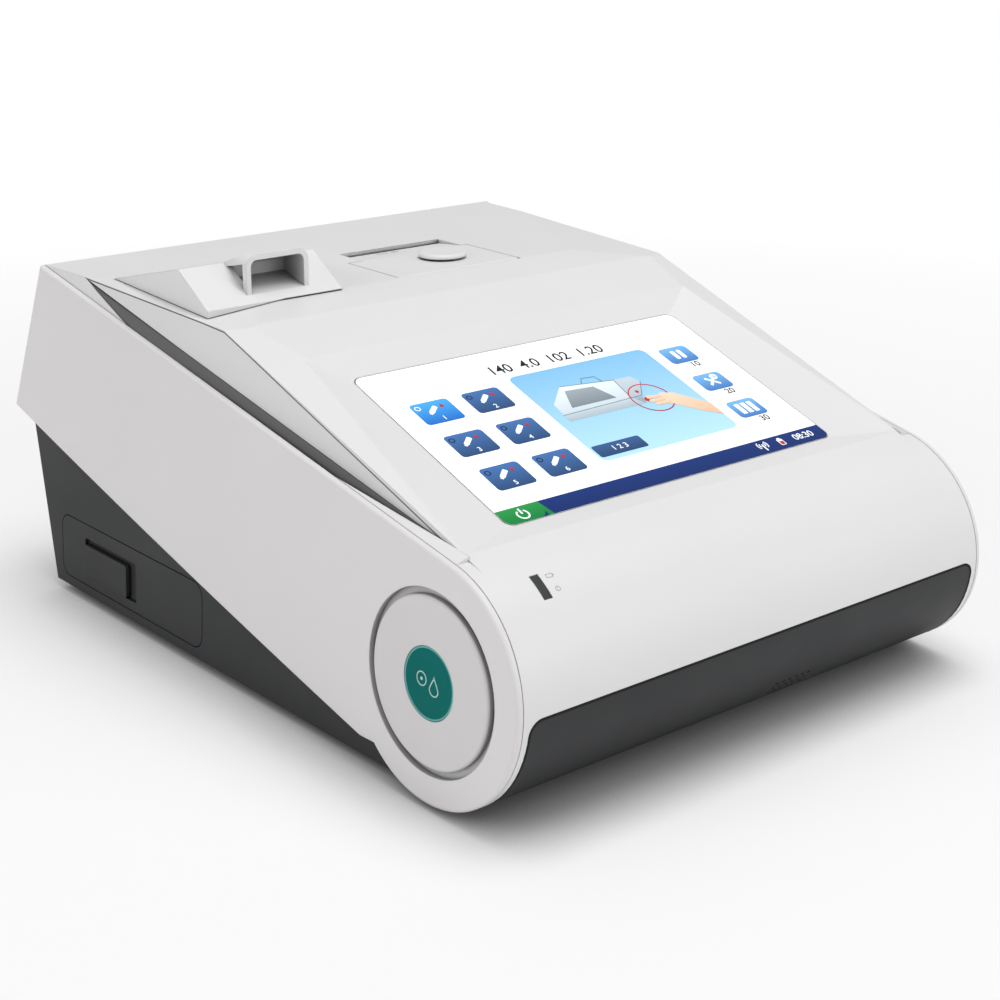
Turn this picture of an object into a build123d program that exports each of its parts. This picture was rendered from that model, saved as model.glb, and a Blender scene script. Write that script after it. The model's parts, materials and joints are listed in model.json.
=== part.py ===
from build123d import *

import os
from math import acos, atan2, cos, degrees, hypot, radians, sin

os.makedirs("parts", exist_ok=True)

# Bench analyzer with a tilted touch screen, seen from the front: X to the right, Y to the back, Z up.
# All lengths are in millimetres. The origin is on the table, under the middle of the analyzer.

# Overall form
body_length = 318.6
body_width = 226.1
nose_radius = 42.0
nose_clearance = 2.0
deck_rear_setback = 24.2
side_taper = 0.028
side_lean = 0.059
waist_rear_height = 73.2
waist_front_height = 12.5
waist_front_y = -81.5
waist_sag = 1.4
waist_fillet = 5.0
waist_meets_nose = -57.0

# Roof line, from the screen's top edge over the brow and the crest up to the deck
glass_top_height = 117.2
brow_rise = 8.3
crest_rise = 7.5
deck_rise = 2.4
crease_y = -19.0
crease_height = glass_top_height + brow_rise
crest_y = 7.2
crest_height = crease_height + crest_rise
deck_front_y = 27.0
deck_height = crest_height + deck_rise

# Plateau between the two sides, whose side faces lean and taper more than the side panels
plateau_half_width = 105.8
plateau_taper = 0.048
plateau_lean = 0.0842

# Bevels that take the roof down to the plateau's side faces
rim_rear_y = 9.5
rim_rear_drop = 1.2
rim_front_y = -117.0
rim_crease_half_width = 91.0
shoulder_rear_y = 105.0
shoulder_front_y = 24.0
shoulder_drop = 2.8
shoulder_half_width = 70.0

# Grooves between the side panels and the plateau, with a wedge at each end
groove_depth = 6.0
trim_rear_drop = 0.6
trim_front_y = -111.4
trim_front_drop = 2.4
trim_outer_drop = 2.5
rear_wedge_inner_y = 105.0
rear_wedge_outer_y = 71.7
front_wedge_inner_y = -120.0
front_wedge_outer_y = -62.0

# Walls and general clearances
wall = 2.6
panel_thickness = 2.2
seam = 0.2
gap = 0.4
running_gap = 0.05
edge_softening = 1.2
opening_drop = 20.0

# Screen
glass_width = 155.2
glass_length = 92.0
glass_thickness = 1.8
glass_corner = 4.0
glass_tilt = 19.07
glass_top_y = -26.4
glass_clearance = 0.2
glass_rest_width = 3.6
gasket_thickness = 0.6
pan_floor = 2.0
pan_margin = 12.0
surround_top_half_width = 92.0
surround_bottom_half_width = 102.5
surround_bottom_y = -123.0
lcd_size = (164.0, 98.0)
lcd_thickness = 6.0
lcd_margin = 1.8
bracket_margin = 11.0
bracket_screw_margin = 6.0
bracket_size = (lcd_size[0] + 2 * bracket_margin, 94.0)
bracket_thickness = 1.2
bracket_screw_spacing = (lcd_size[0] + 2 * bracket_screw_margin, 78.0)
bracket_window_size = (37.2, 18.8)
bracket_window_pitch = (62.0, 31.4)
bracket_window_count = (3, 2)

# Round seats on the ends of the nose
seat_radius = 31.4
disc_radius = 28.8
disc_proud = 0.5
badge_radius = 12.2
badge_thickness = 1.2
badge_recess = 1.4

# Dark base and front panel
base_bottom = 4.0
base_inset = 3.5
base_rear_top_setback = 8.9
base_rear_bottom_setback = 27.2
front_panel_thickness = 2.4
front_panel_inset = 5.1
front_panel_corner = 4.5
front_panel_sweep = 104.0
base_wall = 2.5
base_nose_reach = 10.5
base_rear_shelf = 7.5
nose_web_height = 8.0
foot_radius = 7.0
foot_recess = 1.0
foot_places = [(-84.0, -78.0), (84.0, -78.0), (-88.0, 108.0), (88.0, 108.0)]

# Fasteners
screw_radius = 1.5
screw_head_radius = 2.8
screw_head_height = 1.8
boss_radius = 4.5
boss_places = [(-97.0, -66.0), (97.0, -66.0), (-101.0, 6.0), (101.0, 6.0)]
boss_above_waist = 2.0
boss_land = 3.0
lug_height = 12.0
small_screw_radius = 1.2
small_head_radius = 2.3
small_head_height = 1.4

# Status light in the nose
status_x = (-89.6, -86.3)
status_angles = (119.2, 131.8)
status_clearance = 0.1

# Speaker behind the front panel
speaker_x = 20.0
speaker_angle = 220.0
speaker_radius = 13.0
speaker_depth = 6.0
speaker_cone_angle = 30.0
speaker_hole_radius = 0.8
speaker_hole_pitch = 3.2
speaker_holes = (6, 3)

# Calibrant pack, pulled up by its hood
pack_x = (-103.4, -44.5)
pack_front_y = 25.0
pack_ridge_y = 44.6
pack_rear_y = 94.5
pack_ridge_rise = 12.3
pack_ridge_height = deck_height + pack_ridge_rise
pack_lift = 0.3
pack_body_x = (-100.6, -49.4)
pack_body_y = (29.4, 90.6)
pack_depth = 74.6
pack_bottom = deck_height - pack_depth
pack_wall = 1.6
tub_wall = 1.8
tub_floor = 2.4
pack_socket_height = 6.0
hood_x = (-84.1, -57.1)
hood_front_y = 29.0
hood_rise = 4.9
hood_top = pack_ridge_height + hood_rise
hood_band = 2.0
hood_roof_run = 4.0
hood_corner = 4.5
hood_inner_corner = 2.5
hood_well_rear_y = 42.5
hood_floor_rise = 4.0
hood_strap_depth = 2.6
probe_xs = (-90.0, -75.0, -60.0)
probe_y = 60.0
probe_radius = 1.1
probe_stem = 10.8
probe_tip = 5.2
probe_reach = (pack_bottom - probe_stem, pack_bottom + probe_tip)
seal_radius = 4.0
seal_height = 2.4

# Printer under its hinged door
door_x = (-16.0, 44.0)
door_front_y = 27.2
door_rear_y = 62.0
door_thickness = 2.6
door_barrel_radius = 2.2
door_pin_radius = 1.0
slot_x = (-9.0, 41.0)
slot_rear_y = 78.6
slot_gap = 2.0
slot_lip_drop = 1.5
door_gap = 0.4
ear_thickness = 2.0
platen_y = 70.0
platen_drop = 8.9
platen_z = deck_height - platen_drop
platen_radius = 4.0
platen_shaft_radius = 1.5
roll_y = 50.0
roll_drop = 34.4
roll_z = deck_height - roll_drop
roll_radius = 17.5
roll_core_radius = 8.0
roll_core_bore = 6.0
roll_x = (-7.0, 39.0)
printer_wall = 2.0
printer_x = (-11.5, 43.9)
printer_y = (29.6, 81.6)
printer_depth = 54.3
printer_floor = deck_height - printer_depth
head_gap = 1.0
head_thickness = 2.6
head_drop = 14.4
head_size = 7.5
head_z = (deck_height - head_drop, deck_height - head_drop + head_size)
lobe_centre = (20.5, 48.0)
lobe_size = (10.0, 9.5)
lobe_height = 2.6
lobe_scoop_shift = 2.0
lobe_scoop_height = 0.9
ear_front_reach = 12.0

# Cartridge port in the right side
port_y = (-64.0, -20.0)
port_z = (50.0, 62.0)
port_corner = 2.0
port_rim = 2.0
port_proud = 0.3

# Main board, on posts above the tray's floor
board_x = (-30.0, 58.0)
board_y = (-72.0, 58.0)
board_bottom = 18.0
board_thickness = 1.6
board_hole_setback = 5.0
board_post_radius = 3.0
chip_height = 2.4
capacitor_radius = 4.0
capacitor_height = 10.0
capacitor_place = (8.0, -34.0)
capacitor_pitch = 12.0
capacitor_count = (3, 2)
processor_place = (-18.0, 12.0)
processor_size = 24.0
fin_pitch = 4.0
fin_thickness = 1.4
fin_count = 6
memory_place = (14.0, 30.0)
memory_pitch = (16.0, 14.0)
memory_count = (2, 2)
memory_size = (12.0, 9.0)
front_socket_place = (-22.0, -40.0)
front_socket_size = (30.0, 8.0)
right_socket_place = (26.0, -8.0)
right_socket_size = (8.0, 30.0)

# Connectors and fan on the slanted rear wall, with places across given from the middle of the analyzer
io_x = (29.0, 107.0)
io_height = 31.0
io_size = 34.0
io_overlap = 3.0
io_corner = 3.0
io_plate_thickness = 1.2
io_screw_reach = (35.5, 15.4)
connector_proud = 1.0
connector_flange = 1.0
connector_depth = 12.0
network_x = 43.0
network_size = (15.0, 13.0)
network_socket_size = (12.0, 9.0)
usb_x = 63.0
usb_size = (14.0, 15.4)
usb_slot = (12.4, 4.8)
usb_slot_reach = 3.7
usb_tongue = (10.4, 1.6)
switch_x = 81.0
switch_size = (13.0, 19.0)
switch_wall = 1.0
rocker_half_length = 7.4
rocker_pivot_depth = 4.6
rocker_throw = 16.0
rocker_pin_radius = 1.0
inlet_x = 97.0
inlet_radius = 5.5
inlet_bore_radius = 3.9
inlet_pin_radius = 1.2
socket_depth = 9.0
fan_x = -2.0
fan_height = 31.0
fan_size = 40.0
fan_depth = 10.0
grille_length = 34.0
grille_slot = 2.6
grille_pitch = 5.0
grille_count = 7

# Fan
fan_bore_radius = 18.5
fan_hub_radius = 8.0
fan_stub_radius = 1.5
fan_blades = 7
fan_blade_thickness = 1.0
fan_blade_pitch = 38.0
fan_back = 2.0
fan_bearing_length = 4.0

# Power module, cartridge mechanism and pump
module_x = (66.0, 104.0)
module_y = (22.0, 96.0)
module_height = 36.0
chassis_x = (62.0, 104.2)
chassis_margin = 2.0
chassis_z = (44.0, 72.0)
channel_wall = 4.0
channel_z = (52.4, 60.0)
leg_thickness = 4.0
middle_leg_setback = 12.0
head_x = (72.0, 96.0)
head_clearance = 0.4
head_height = 9.0
sensor_pin_pitch = 5.0
sensor_pin_count = (3, 3)
flap_x = 112.2
flap_thickness = 1.2
flap_pin_radius = 0.8
flap_side_gap = 0.4
pump_y = -35.0
pump_z = 58.0
pump_x = (-104.0, -88.0)
pump_outer_radius = 20.0
pump_inner_radius = 17.0
pump_plate = 2.0
pump_plate_half_width = 22.0
pump_foot_length = 14.7
pump_shaft_radius = 2.0
rotor_disc_radius = 14.4
rotor_disc_thickness = 1.6
roller_radius = 3.5
roller_orbit = 11.2
roller_count = 3
tube_width = 4.0
motor_radius = 14.0
motor_length = 28.0
motor_bore_depth = 3.0

# Scanner in the right disc, status board, speaker seat, and small printer sizes
scanner_window_radius = 9.0
scanner_snout = 9.4
scanner_size = 24.0
scanner_depth = 18.0
status_board_size = (12.0, 20.0)
status_led_size = (2.6, 5.0)
status_led_height = 1.2
status_peg_reach = 8.0
status_peg_radius = 1.5
speaker_sagitta = 2.4
pin_reach = 3.0
head_bracket = 16.0
tear_thickness = 0.6
contact_width = 30.0
contact_depth = 2.0
cage_front_x = -106.0
rail_width = 6.0

# Battery drawer in the left side of the base
drawer_y = (21.0, 127.0)
drawer_z = (8.2, 34.0)
drawer_corner = 6.0
drawer_plate = 3.2
drawer_gap = 0.4
battery_tray_x = -41.0
battery_tray_y = (29.5, 118.5)
battery_tray_z = (10.5, 30.0)
battery_tray_wall = 1.6
battery_gap = 0.5
battery_pack_height = 18.0
cage_wall = 1.6
cage_gap = 0.5
latch_y = (75.0, 108.0)
latch_z = (12.4, 25.8)
latch_travel = 4.0
latch_proud = 0.8
latch_pocket_depth = 1.4
latch_pocket_margin = 2.4
latch_stem = 6.0
latch_head = 10.0

# Derived landmarks, as (y, z) pairs in the side view
rear_y = body_length / 2
front_y = -rear_y
nose_y = front_y + nose_radius
nose_z = nose_clearance + nose_radius
half_width = body_width / 2
deck_rear_y = rear_y - deck_rear_setback
deck_rear_corner = (deck_rear_y, deck_height)
waist_rear_corner = (rear_y, waist_rear_height)
waist_front_corner = (waist_front_y, waist_front_height)
crease_point = (crease_y, crease_height)
crest_point = (crest_y, crest_height)
deck_front_point = (deck_front_y, deck_height)
nose_centre = (nose_y, nose_z)
nose_front_angle = 180.0
base_rear_top_y = rear_y - base_rear_top_setback
base_rear_bottom_y = rear_y - base_rear_bottom_setback
shell_inset = panel_thickness + seam


def tangent_angle(point, radius=nose_radius):
    """Angle round the nose, in degrees, at which a line from a point behind touches it on top"""
    reach = (point[0] - nose_y, point[1] - nose_z)
    return degrees(atan2(reach[1], reach[0]) + acos(radius / hypot(reach[0], reach[1])))


def on_nose(angle, radius=nose_radius):
    """Side view point on a circle round the nose's axis"""
    return (nose_y + radius * cos(radians(angle)), nose_z + radius * sin(radians(angle)))


def height_on_line(start, end, y):
    """Height at y of the straight line through two side view points"""
    return start[1] + (end[1] - start[1]) * (y - start[0]) / (end[0] - start[0])


side_line_angle = tangent_angle(deck_rear_corner)
surround_angle = tangent_angle(crease_point)
side_line_start = on_nose(side_line_angle)
surround_start = on_nose(surround_angle)
waist_middle_y = (rear_y + waist_front_y) / 2
waist_middle_z = height_on_line(waist_front_corner, waist_rear_corner, waist_middle_y) - waist_sag
waist_middle = (waist_middle_y, waist_middle_z)

LEFT = -1
RIGHT = 1


def box_between(low, high, mode=Mode.ADD):
    """Add or cut a box between two opposite corners"""
    with Locations(tuple((a + b) / 2 for a, b in zip(low, high))):
        Box(high[0] - low[0], high[1] - low[1], high[2] - low[2], mode=mode)


def side_view_rectangle(y_range, z_range, corner=0.0):
    """Rectangle in a side view sketch, with its corners rounded if asked"""
    with Locations(((y_range[0] + y_range[1]) / 2, (z_range[0] + z_range[1]) / 2)):
        if corner:
            RectangleRounded(y_range[1] - y_range[0], z_range[1] - z_range[0], corner)
        else:
            Rectangle(y_range[1] - y_range[0], z_range[1] - z_range[0])


def widened(values, amount):
    """Range grown by an amount at both ends"""
    return (values[0] - amount, values[1] + amount)


def middle(values):
    """Middle of a range"""
    return (values[0] + values[1]) / 2


def nose_band(inner, outer, start, end):
    """Part of a ring round the nose, in a side view sketch, between two angles"""
    centre = Plane(origin=(nose_y, nose_z, 0))
    outer_arc = Edge.make_circle(outer, centre, start, end)
    inner_arc = Edge.make_circle(inner, centre, start, end)
    first_end = Edge.make_line(outer_arc @ 0, inner_arc @ 0)
    last_end = Edge.make_line(outer_arc @ 1, inner_arc @ 1)
    make_face([outer_arc, last_end, inner_arc, first_end])


def side_plane(side, inset=0.0):
    """Plane of one side of the analyzer, facing outwards, moved in by an inset"""
    return Plane(
        origin=(side * half_width, nose_y, nose_z),
        x_dir=(side * side_taper, 1, 0),
        z_dir=(side, -side_taper, side_lean),
    ).offset(-inset)


def plateau_plane(side, inset=0.0):
    """Plane of one side face of the raised plateau, facing outwards, moved in by an inset"""
    return Plane(
        origin=(side * plateau_half_width, crest_y, crest_height),
        x_dir=(side * plateau_taper, 1, 0),
        z_dir=(side, -plateau_taper, plateau_lean),
    ).offset(-inset)


def side_x(y, z, inset=0.0):
    """Distance of a side from the middle, at a height and a place along the analyzer"""
    return half_width - inset + side_taper * (y - nose_y) - side_lean * (z - nose_z)


def plateau_x(y, z):
    """Distance of a plateau side face from the middle"""
    return plateau_half_width + plateau_taper * (y - crest_y) - plateau_lean * (z - crest_height)


def keep_between_sides(inset):
    """Cut the current part to what lies between the two sides"""
    for side in (LEFT, RIGHT):
        split(bisect_by=side_plane(side, inset), keep=Keep.BOTTOM)


def keep_between_plateau_sides(inset):
    """Cut the current part to what lies between the plateau's side faces"""
    for side in (LEFT, RIGHT):
        split(bisect_by=plateau_plane(side, inset), keep=Keep.BOTTOM)


def plateau_point(side, y, z):
    """Point on a plateau side face"""
    return Vector(side * plateau_x(y, z), y, z)


def plane_through(a, b, c):
    """Plane through three points, facing up"""
    normal = (b - a).cross(c - a)
    if normal.Z < 0:
        normal = -normal
    return Plane(origin=a, x_dir=b - a, z_dir=normal)


def rim_bevel(side):
    """Bevel beside the screen surround and the front slope"""
    front_z = height_on_line(surround_start, crease_point, rim_front_y)
    return plane_through(
        plateau_point(side, rim_rear_y, crest_height - rim_rear_drop),
        plateau_point(side, rim_front_y, front_z),
        Vector(side * rim_crease_half_width, crease_y, crease_height),
    )


def deck_shoulder(side):
    """Gentle fall of the deck towards its front corner"""
    return plane_through(
        plateau_point(side, shoulder_rear_y, deck_height),
        plateau_point(side, shoulder_front_y, deck_height - shoulder_drop),
        Vector(side * shoulder_half_width, shoulder_front_y, deck_height),
    )


def keep_below_bevels(depth):
    """Cut the current part to what lies below the roof's bevels, or deeper by a depth"""
    for side in (LEFT, RIGHT):
        split(bisect_by=rim_bevel(side).offset(-depth), keep=Keep.BOTTOM)
        split(bisect_by=deck_shoulder(side).offset(-depth), keep=Keep.BOTTOM)


# Side outline, shared by the side panels and the shell's side walls
with BuildSketch(Plane.YZ) as side_outline:
    with BuildLine():
        Polyline(nose_centre, side_line_start, deck_rear_corner, waist_rear_corner)
        ThreePointArc(waist_rear_corner, waist_middle, waist_front_corner)
        Polyline(waist_front_corner, on_nose(waist_meets_nose, nose_radius - waist_fillet), nose_centre)
    make_face()
    with Locations(nose_centre):
        Circle(nose_radius)
    fillet(side_outline.vertices().sort_by(Axis.Y)[:-2].sort_by(Axis.Z)[0], waist_fillet)

# Roof outline of the plateau, down to the waist
with BuildSketch(Plane.YZ) as roof_outline:
    with BuildLine():
        Polyline(
            surround_start, crease_point, crest_point, deck_front_point, deck_rear_corner, waist_rear_corner
        )
        ThreePointArc(waist_rear_corner, waist_middle, waist_front_corner)
        Polyline(waist_front_corner, nose_centre, on_nose(nose_front_angle))
        ThreePointArc(
            on_nose(nose_front_angle), on_nose((nose_front_angle + surround_angle) / 2), surround_start
        )
    make_face()

# Working shapes for the shell: the plateau, the body between the side panels and the inside space
with BuildPart() as plateau_form:
    extrude(roof_outline.sketch, amount=body_width, both=True)
    keep_between_plateau_sides(0)
    keep_between_sides(shell_inset)
    keep_below_bevels(0)

with BuildPart() as side_form:
    extrude(side_outline.sketch, amount=body_width, both=True)
    keep_between_sides(shell_inset)

with BuildSketch(Plane.YZ) as inside_outline:
    add(roof_outline.sketch_local)
    offset(amount=-wall, kind=Kind.INTERSECTION)
    with BuildLine():
        Polyline(
            (base_rear_top_y - base_wall, waist_rear_height + opening_drop),
            (base_rear_top_y - base_wall, -opening_drop),
            (front_y - opening_drop, -opening_drop),
            (front_y - opening_drop, nose_z),
            nose_centre,
            close=True,
        )
    make_face()
    with Locations(nose_centre):
        Circle(nose_radius - wall)

with BuildPart() as inside_form:
    extrude(inside_outline.sketch, amount=body_width, both=True)
    keep_between_sides(front_panel_inset)
    keep_between_plateau_sides(wall)
    keep_below_bevels(wall)

with BuildSketch(Plane.YZ) as front_panel_outline:
    nose_band(
        nose_radius - front_panel_thickness,
        nose_radius,
        nose_front_angle,
        nose_front_angle + front_panel_sweep,
    )

# Screen plane: middle of the glass, with its own X to the right and its own Y up the slope
tilt = radians(glass_tilt)
glass_middle_y = glass_top_y - glass_length / 2 * cos(tilt)
glass_middle_z = glass_top_height - glass_length / 2 * sin(tilt)
glass_plane = Plane(
    origin=(0, glass_middle_y, glass_middle_z), x_dir=(1, 0, 0), z_dir=(0, -sin(tilt), cos(tilt))
)

surround_slope = radians(surround_angle - 90)
surround_plane = Plane(
    origin=(0, surround_start[0], surround_start[1]),
    x_dir=(1, 0, 0),
    z_dir=(0, -sin(surround_slope), cos(surround_slope)),
)
surround_top = (crease_y - surround_start[0]) / cos(surround_slope)
surround_bottom = (surround_bottom_y - surround_start[0]) / cos(surround_slope)
pan_depth = glass_thickness + gasket_thickness + pan_floor


def side_line_height(y):
    """Height of the side panel's top edge"""
    return height_on_line(side_line_start, deck_rear_corner, y)


def edge_point(side, y, rise=0.0):
    """Point on the shell just behind a side panel's top edge"""
    z = side_line_height(y) + rise
    return Vector(side * side_x(y, z, shell_inset), y, z)


def upright_plane(a, b, towards):
    """Upright plane over the line between two points, facing a direction along Y"""
    along = Vector(b.X - a.X, b.Y - a.Y, 0)
    normal = Vector(-along.Y, along.X, 0)
    if normal.Y * towards < 0:
        normal = -normal
    return Plane(origin=(a.X, a.Y, 0), x_dir=along, z_dir=normal)


def rear_wedge_end(side):
    """Upright plane at the front of the wedge that closes a groove at the rear"""
    inner = plateau_point(side, rear_wedge_inner_y, deck_height)
    return upright_plane(inner, edge_point(side, rear_wedge_outer_y), 1)


def front_wedge_end(side):
    """Upright plane at the back of the wedge that closes a groove at the front"""
    inner_z = height_on_line(surround_start, crease_point, front_wedge_inner_y)
    inner = plateau_point(side, front_wedge_inner_y, inner_z)
    return upright_plane(inner, edge_point(side, front_wedge_outer_y), -1)


def rear_wedge_top(side):
    """Slope of the rear wedge, from the side panel's top edge up to the deck"""
    inner = plateau_point(side, rear_wedge_inner_y, deck_height)
    return plane_through(edge_point(side, deck_rear_y), edge_point(side, rear_wedge_outer_y), inner)


def front_wedge_top(side):
    """Slope of the front wedge, from the side panel's top edge up to the screen surround"""
    inner_z = height_on_line(surround_start, crease_point, front_wedge_inner_y)
    inner = plateau_point(side, front_wedge_inner_y, inner_z)
    return plane_through(edge_point(side, side_line_start[0]), edge_point(side, front_wedge_outer_y), inner)


with BuildSketch(Plane.YZ) as groove_outline:
    with BuildLine():
        Polyline(
            (side_line_start[0], side_line_height(side_line_start[0]) - groove_depth),
            (deck_rear_y, side_line_height(deck_rear_y) - groove_depth),
            (deck_rear_y, deck_height + groove_depth),
            (side_line_start[0], deck_height + groove_depth),
            close=True,
        )
    make_face()


def groove_form(side):
    """Space of one groove, from the plateau's side face outwards"""
    with BuildPart() as groove:
        extrude(groove_outline.sketch, amount=side * body_width)
        split(bisect_by=plateau_plane(side), keep=Keep.TOP)
        split(bisect_by=rear_wedge_end(side), keep=Keep.BOTTOM)
        split(bisect_by=front_wedge_end(side), keep=Keep.BOTTOM)
    return groove.part


def wedge_form(side, start, end, top, close):
    """One wedge of the shell, between two places along the side line, below its sloping top"""
    with BuildPart() as wedge:
        with BuildSketch(Plane.YZ):
            with BuildLine():
                Polyline(
                    (start, side_line_height(start) - groove_depth),
                    (end, side_line_height(end) - groove_depth),
                    (end, min(deck_height, side_line_height(end) + groove_depth)),
                    (start, min(deck_height, side_line_height(start) + 2 * groove_depth)),
                    close=True,
                )
            make_face()
        extrude(amount=side * body_width)
        split(bisect_by=side_plane(side, shell_inset), keep=Keep.BOTTOM)
        split(bisect_by=plateau_plane(side, wall), keep=Keep.TOP)
        split(bisect_by=top, keep=Keep.BOTTOM)
        split(bisect_by=close, keep=Keep.TOP)
    return wedge.part


# Solid under the screen surround, before the screen's recess is cut
with BuildPart() as screen_pan:
    with BuildSketch(glass_plane.offset(-pan_depth)):
        Rectangle(2 * surround_bottom_half_width, glass_length + 2 * pan_margin)
    extrude(amount=pan_depth + pan_margin)
    add(plateau_form.part, mode=Mode.INTERSECT)

# Recess from the roof down to the glass: steep above the glass, wide and shallow beside it
with BuildPart() as surround_form:
    with BuildSketch(glass_plane):
        Rectangle(glass_width, glass_length)
    with BuildSketch(surround_plane):
        with BuildLine():
            Polyline(
                (-surround_bottom_half_width, surround_bottom),
                (surround_bottom_half_width, surround_bottom),
                (surround_top_half_width, surround_top),
                (-surround_top_half_width, surround_top),
                close=True,
            )
        make_face()
    loft()

# Screw lugs on the shell, over bosses on the base
def boss_top(y):
    """Top of the base's screw boss at a place along the analyzer"""
    return height_on_line(waist_front_corner, waist_rear_corner, y) + boss_above_waist


with BuildPart() as lug_form:
    for x, y in boss_places:
        side = RIGHT if x > 0 else LEFT
        lug_bottom = boss_top(y) + seam
        box_between(
            (min(x - side * boss_radius, side * body_width), y - boss_radius, lug_bottom),
            (max(x - side * boss_radius, side * body_width), y + boss_radius, lug_bottom + lug_height),
        )
    keep_between_sides(shell_inset + seam)
    for x, y in boss_places:
        with Locations((x, y, boss_top(y) + seam)):
            Cylinder(
                screw_radius,
                lug_height - seam,
                align=(Align.CENTER, Align.CENTER, Align.MIN),
                mode=Mode.SUBTRACT,
            )

# Places shared by the shell and what it carries
with BuildSketch(Plane.YZ) as port_outline:
    side_view_rectangle(port_y, port_z, port_corner)

status_angle = middle(status_angles)
status_plane = Plane(
    origin=(middle(status_x), *on_nose(status_angle, nose_radius - 2 * wall)),
    x_dir=(1, 0, 0),
    z_dir=(0, cos(radians(status_angle)), sin(radians(status_angle))),
)
door_pin_y = door_front_y + door_barrel_radius
door_pin_z = deck_height - door_barrel_radius

# Top shell
with BuildPart() as top_shell:
    add(plateau_form.part)
    add(side_form.part)
    for side in (LEFT, RIGHT):
        add(groove_form(side), mode=Mode.SUBTRACT)
        add(wedge_form(side, rear_wedge_outer_y, deck_rear_y, rear_wedge_top(side), rear_wedge_end(side)))
        add(
            wedge_form(
                side, side_line_start[0], front_wedge_outer_y, front_wedge_top(side), front_wedge_end(side)
            )
        )
    add(inside_form.part, mode=Mode.SUBTRACT)
    add(screen_pan.part)
    add(lug_form.part)
    with BuildSketch(glass_plane.offset(-pan_depth)):
        with GridLocations(*bracket_screw_spacing, 2, 2):
            Circle(small_head_radius + wall / 2)
    extrude(amount=-(lcd_thickness + gap))
    add(surround_form.part, mode=Mode.SUBTRACT)
    with BuildSketch(glass_plane.offset(-(glass_thickness + gasket_thickness))):
        RectangleRounded(
            glass_width + 2 * glass_clearance,
            glass_length + 2 * glass_clearance,
            glass_corner + glass_clearance,
        )
    extrude(amount=glass_thickness + gasket_thickness, mode=Mode.SUBTRACT)
    with BuildSketch(glass_plane):
        RectangleRounded(
            glass_width - 2 * glass_rest_width, glass_length - 2 * glass_rest_width, glass_corner
        )
    extrude(amount=-2 * pan_depth, mode=Mode.SUBTRACT)
    with BuildSketch(glass_plane.offset(-(pan_depth + lcd_thickness + gap))):
        with GridLocations(*bracket_screw_spacing, 2, 2):
            Circle(small_screw_radius)
    extrude(amount=lcd_thickness, mode=Mode.SUBTRACT)
    # Seat of the front panel in the side walls
    with BuildSketch(Plane.YZ) as panel_seat:
        nose_band(
            nose_radius - front_panel_thickness - gap,
            nose_radius + gap,
            nose_front_angle,
            nose_front_angle + front_panel_sweep + 1,
        )
    with BuildPart(mode=Mode.PRIVATE) as panel_seat_form:
        extrude(panel_seat.sketch, amount=body_width, both=True)
        keep_between_sides(front_panel_inset)
    add(panel_seat_form.part, mode=Mode.SUBTRACT)
    # Rounded upper corners of the opening for the front panel
    with BuildPart(mode=Mode.PRIVATE) as panel_corners:
        extrude(front_panel_outline.sketch, amount=body_width, both=True)
        keep_between_sides(front_panel_inset)
        with BuildPart(mode=Mode.PRIVATE) as panel_opening:
            add(panel_corners.part)
            fillet(
                panel_opening.edges().group_by(Axis.Z)[-1].sort_by(SortBy.LENGTH)[:2],
                front_panel_corner + seam,
            )
        add(panel_opening.part, mode=Mode.SUBTRACT)
    add(panel_corners.part)
    # Status light slot
    with BuildSketch(Plane.YZ.offset(status_x[0] - status_clearance)):
        nose_band(
            nose_radius - 2 * wall,
            nose_radius + gap,
            status_angles[0] - status_clearance,
            status_angles[1] + status_clearance,
        )
    extrude(amount=status_x[1] - status_x[0] + 2 * status_clearance, mode=Mode.SUBTRACT)
    # Pegs for the status board
    with BuildSketch(status_plane):
        with Locations((0, status_peg_reach), (0, -status_peg_reach)):
            Circle(status_peg_radius)
    extrude(amount=wall + seam)
    # Window for the scanner and the cartridge port in the right wall
    with BuildSketch(side_plane(RIGHT)):
        Circle(scanner_window_radius)
    extrude(amount=-nose_radius / 2, mode=Mode.SUBTRACT)
    extrude(port_outline.sketch, amount=body_width, mode=Mode.SUBTRACT)
    # Pack bay, printer and paper openings in the deck
    box_between(
        (pack_body_x[0] - gap, pack_body_y[0] - gap, deck_height - 2 * wall),
        (pack_body_x[1] + gap, pack_body_y[1] + gap, deck_height + wall),
        mode=Mode.SUBTRACT,
    )
    box_between(
        (door_x[0] - door_gap, door_front_y - door_gap, deck_height - 2 * wall),
        (door_x[1] + door_gap, door_rear_y + door_gap, deck_height + wall),
        mode=Mode.SUBTRACT,
    )
    box_between(
        (slot_x[0] - door_gap, door_rear_y, deck_height - 2 * wall),
        (slot_x[1] + door_gap, slot_rear_y, deck_height + wall),
        mode=Mode.SUBTRACT,
    )
    # Lugs for the ends of the printer door's pin
    for lug_x in (door_x[0] - door_gap - pin_reach, door_x[1] + door_gap):
        with BuildSketch(Plane.YZ.offset(lug_x)):
            with Locations((door_pin_y, door_pin_z)):
                Circle(door_barrel_radius)
        extrude(amount=pin_reach)
        with BuildSketch(Plane.YZ.offset(lug_x)):
            with Locations((door_pin_y, door_pin_z)):
                Circle(door_pin_radius + running_gap)
        extrude(amount=pin_reach, mode=Mode.SUBTRACT)
top_shell.part.label = "top_shell"
export_step(top_shell.part, "parts/top_shell.step")


# Side panels: thin covers with a round seat for the discs
def side_slab(sketch, side, outer, inner):
    """Slab with a side view outline, between two insets from one side"""
    with BuildPart() as slab:
        extrude(sketch, amount=side * body_width)
        split(bisect_by=side_plane(side, outer), keep=Keep.BOTTOM)
        split(bisect_by=side_plane(side, inner), keep=Keep.TOP)
    return slab.part


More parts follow.
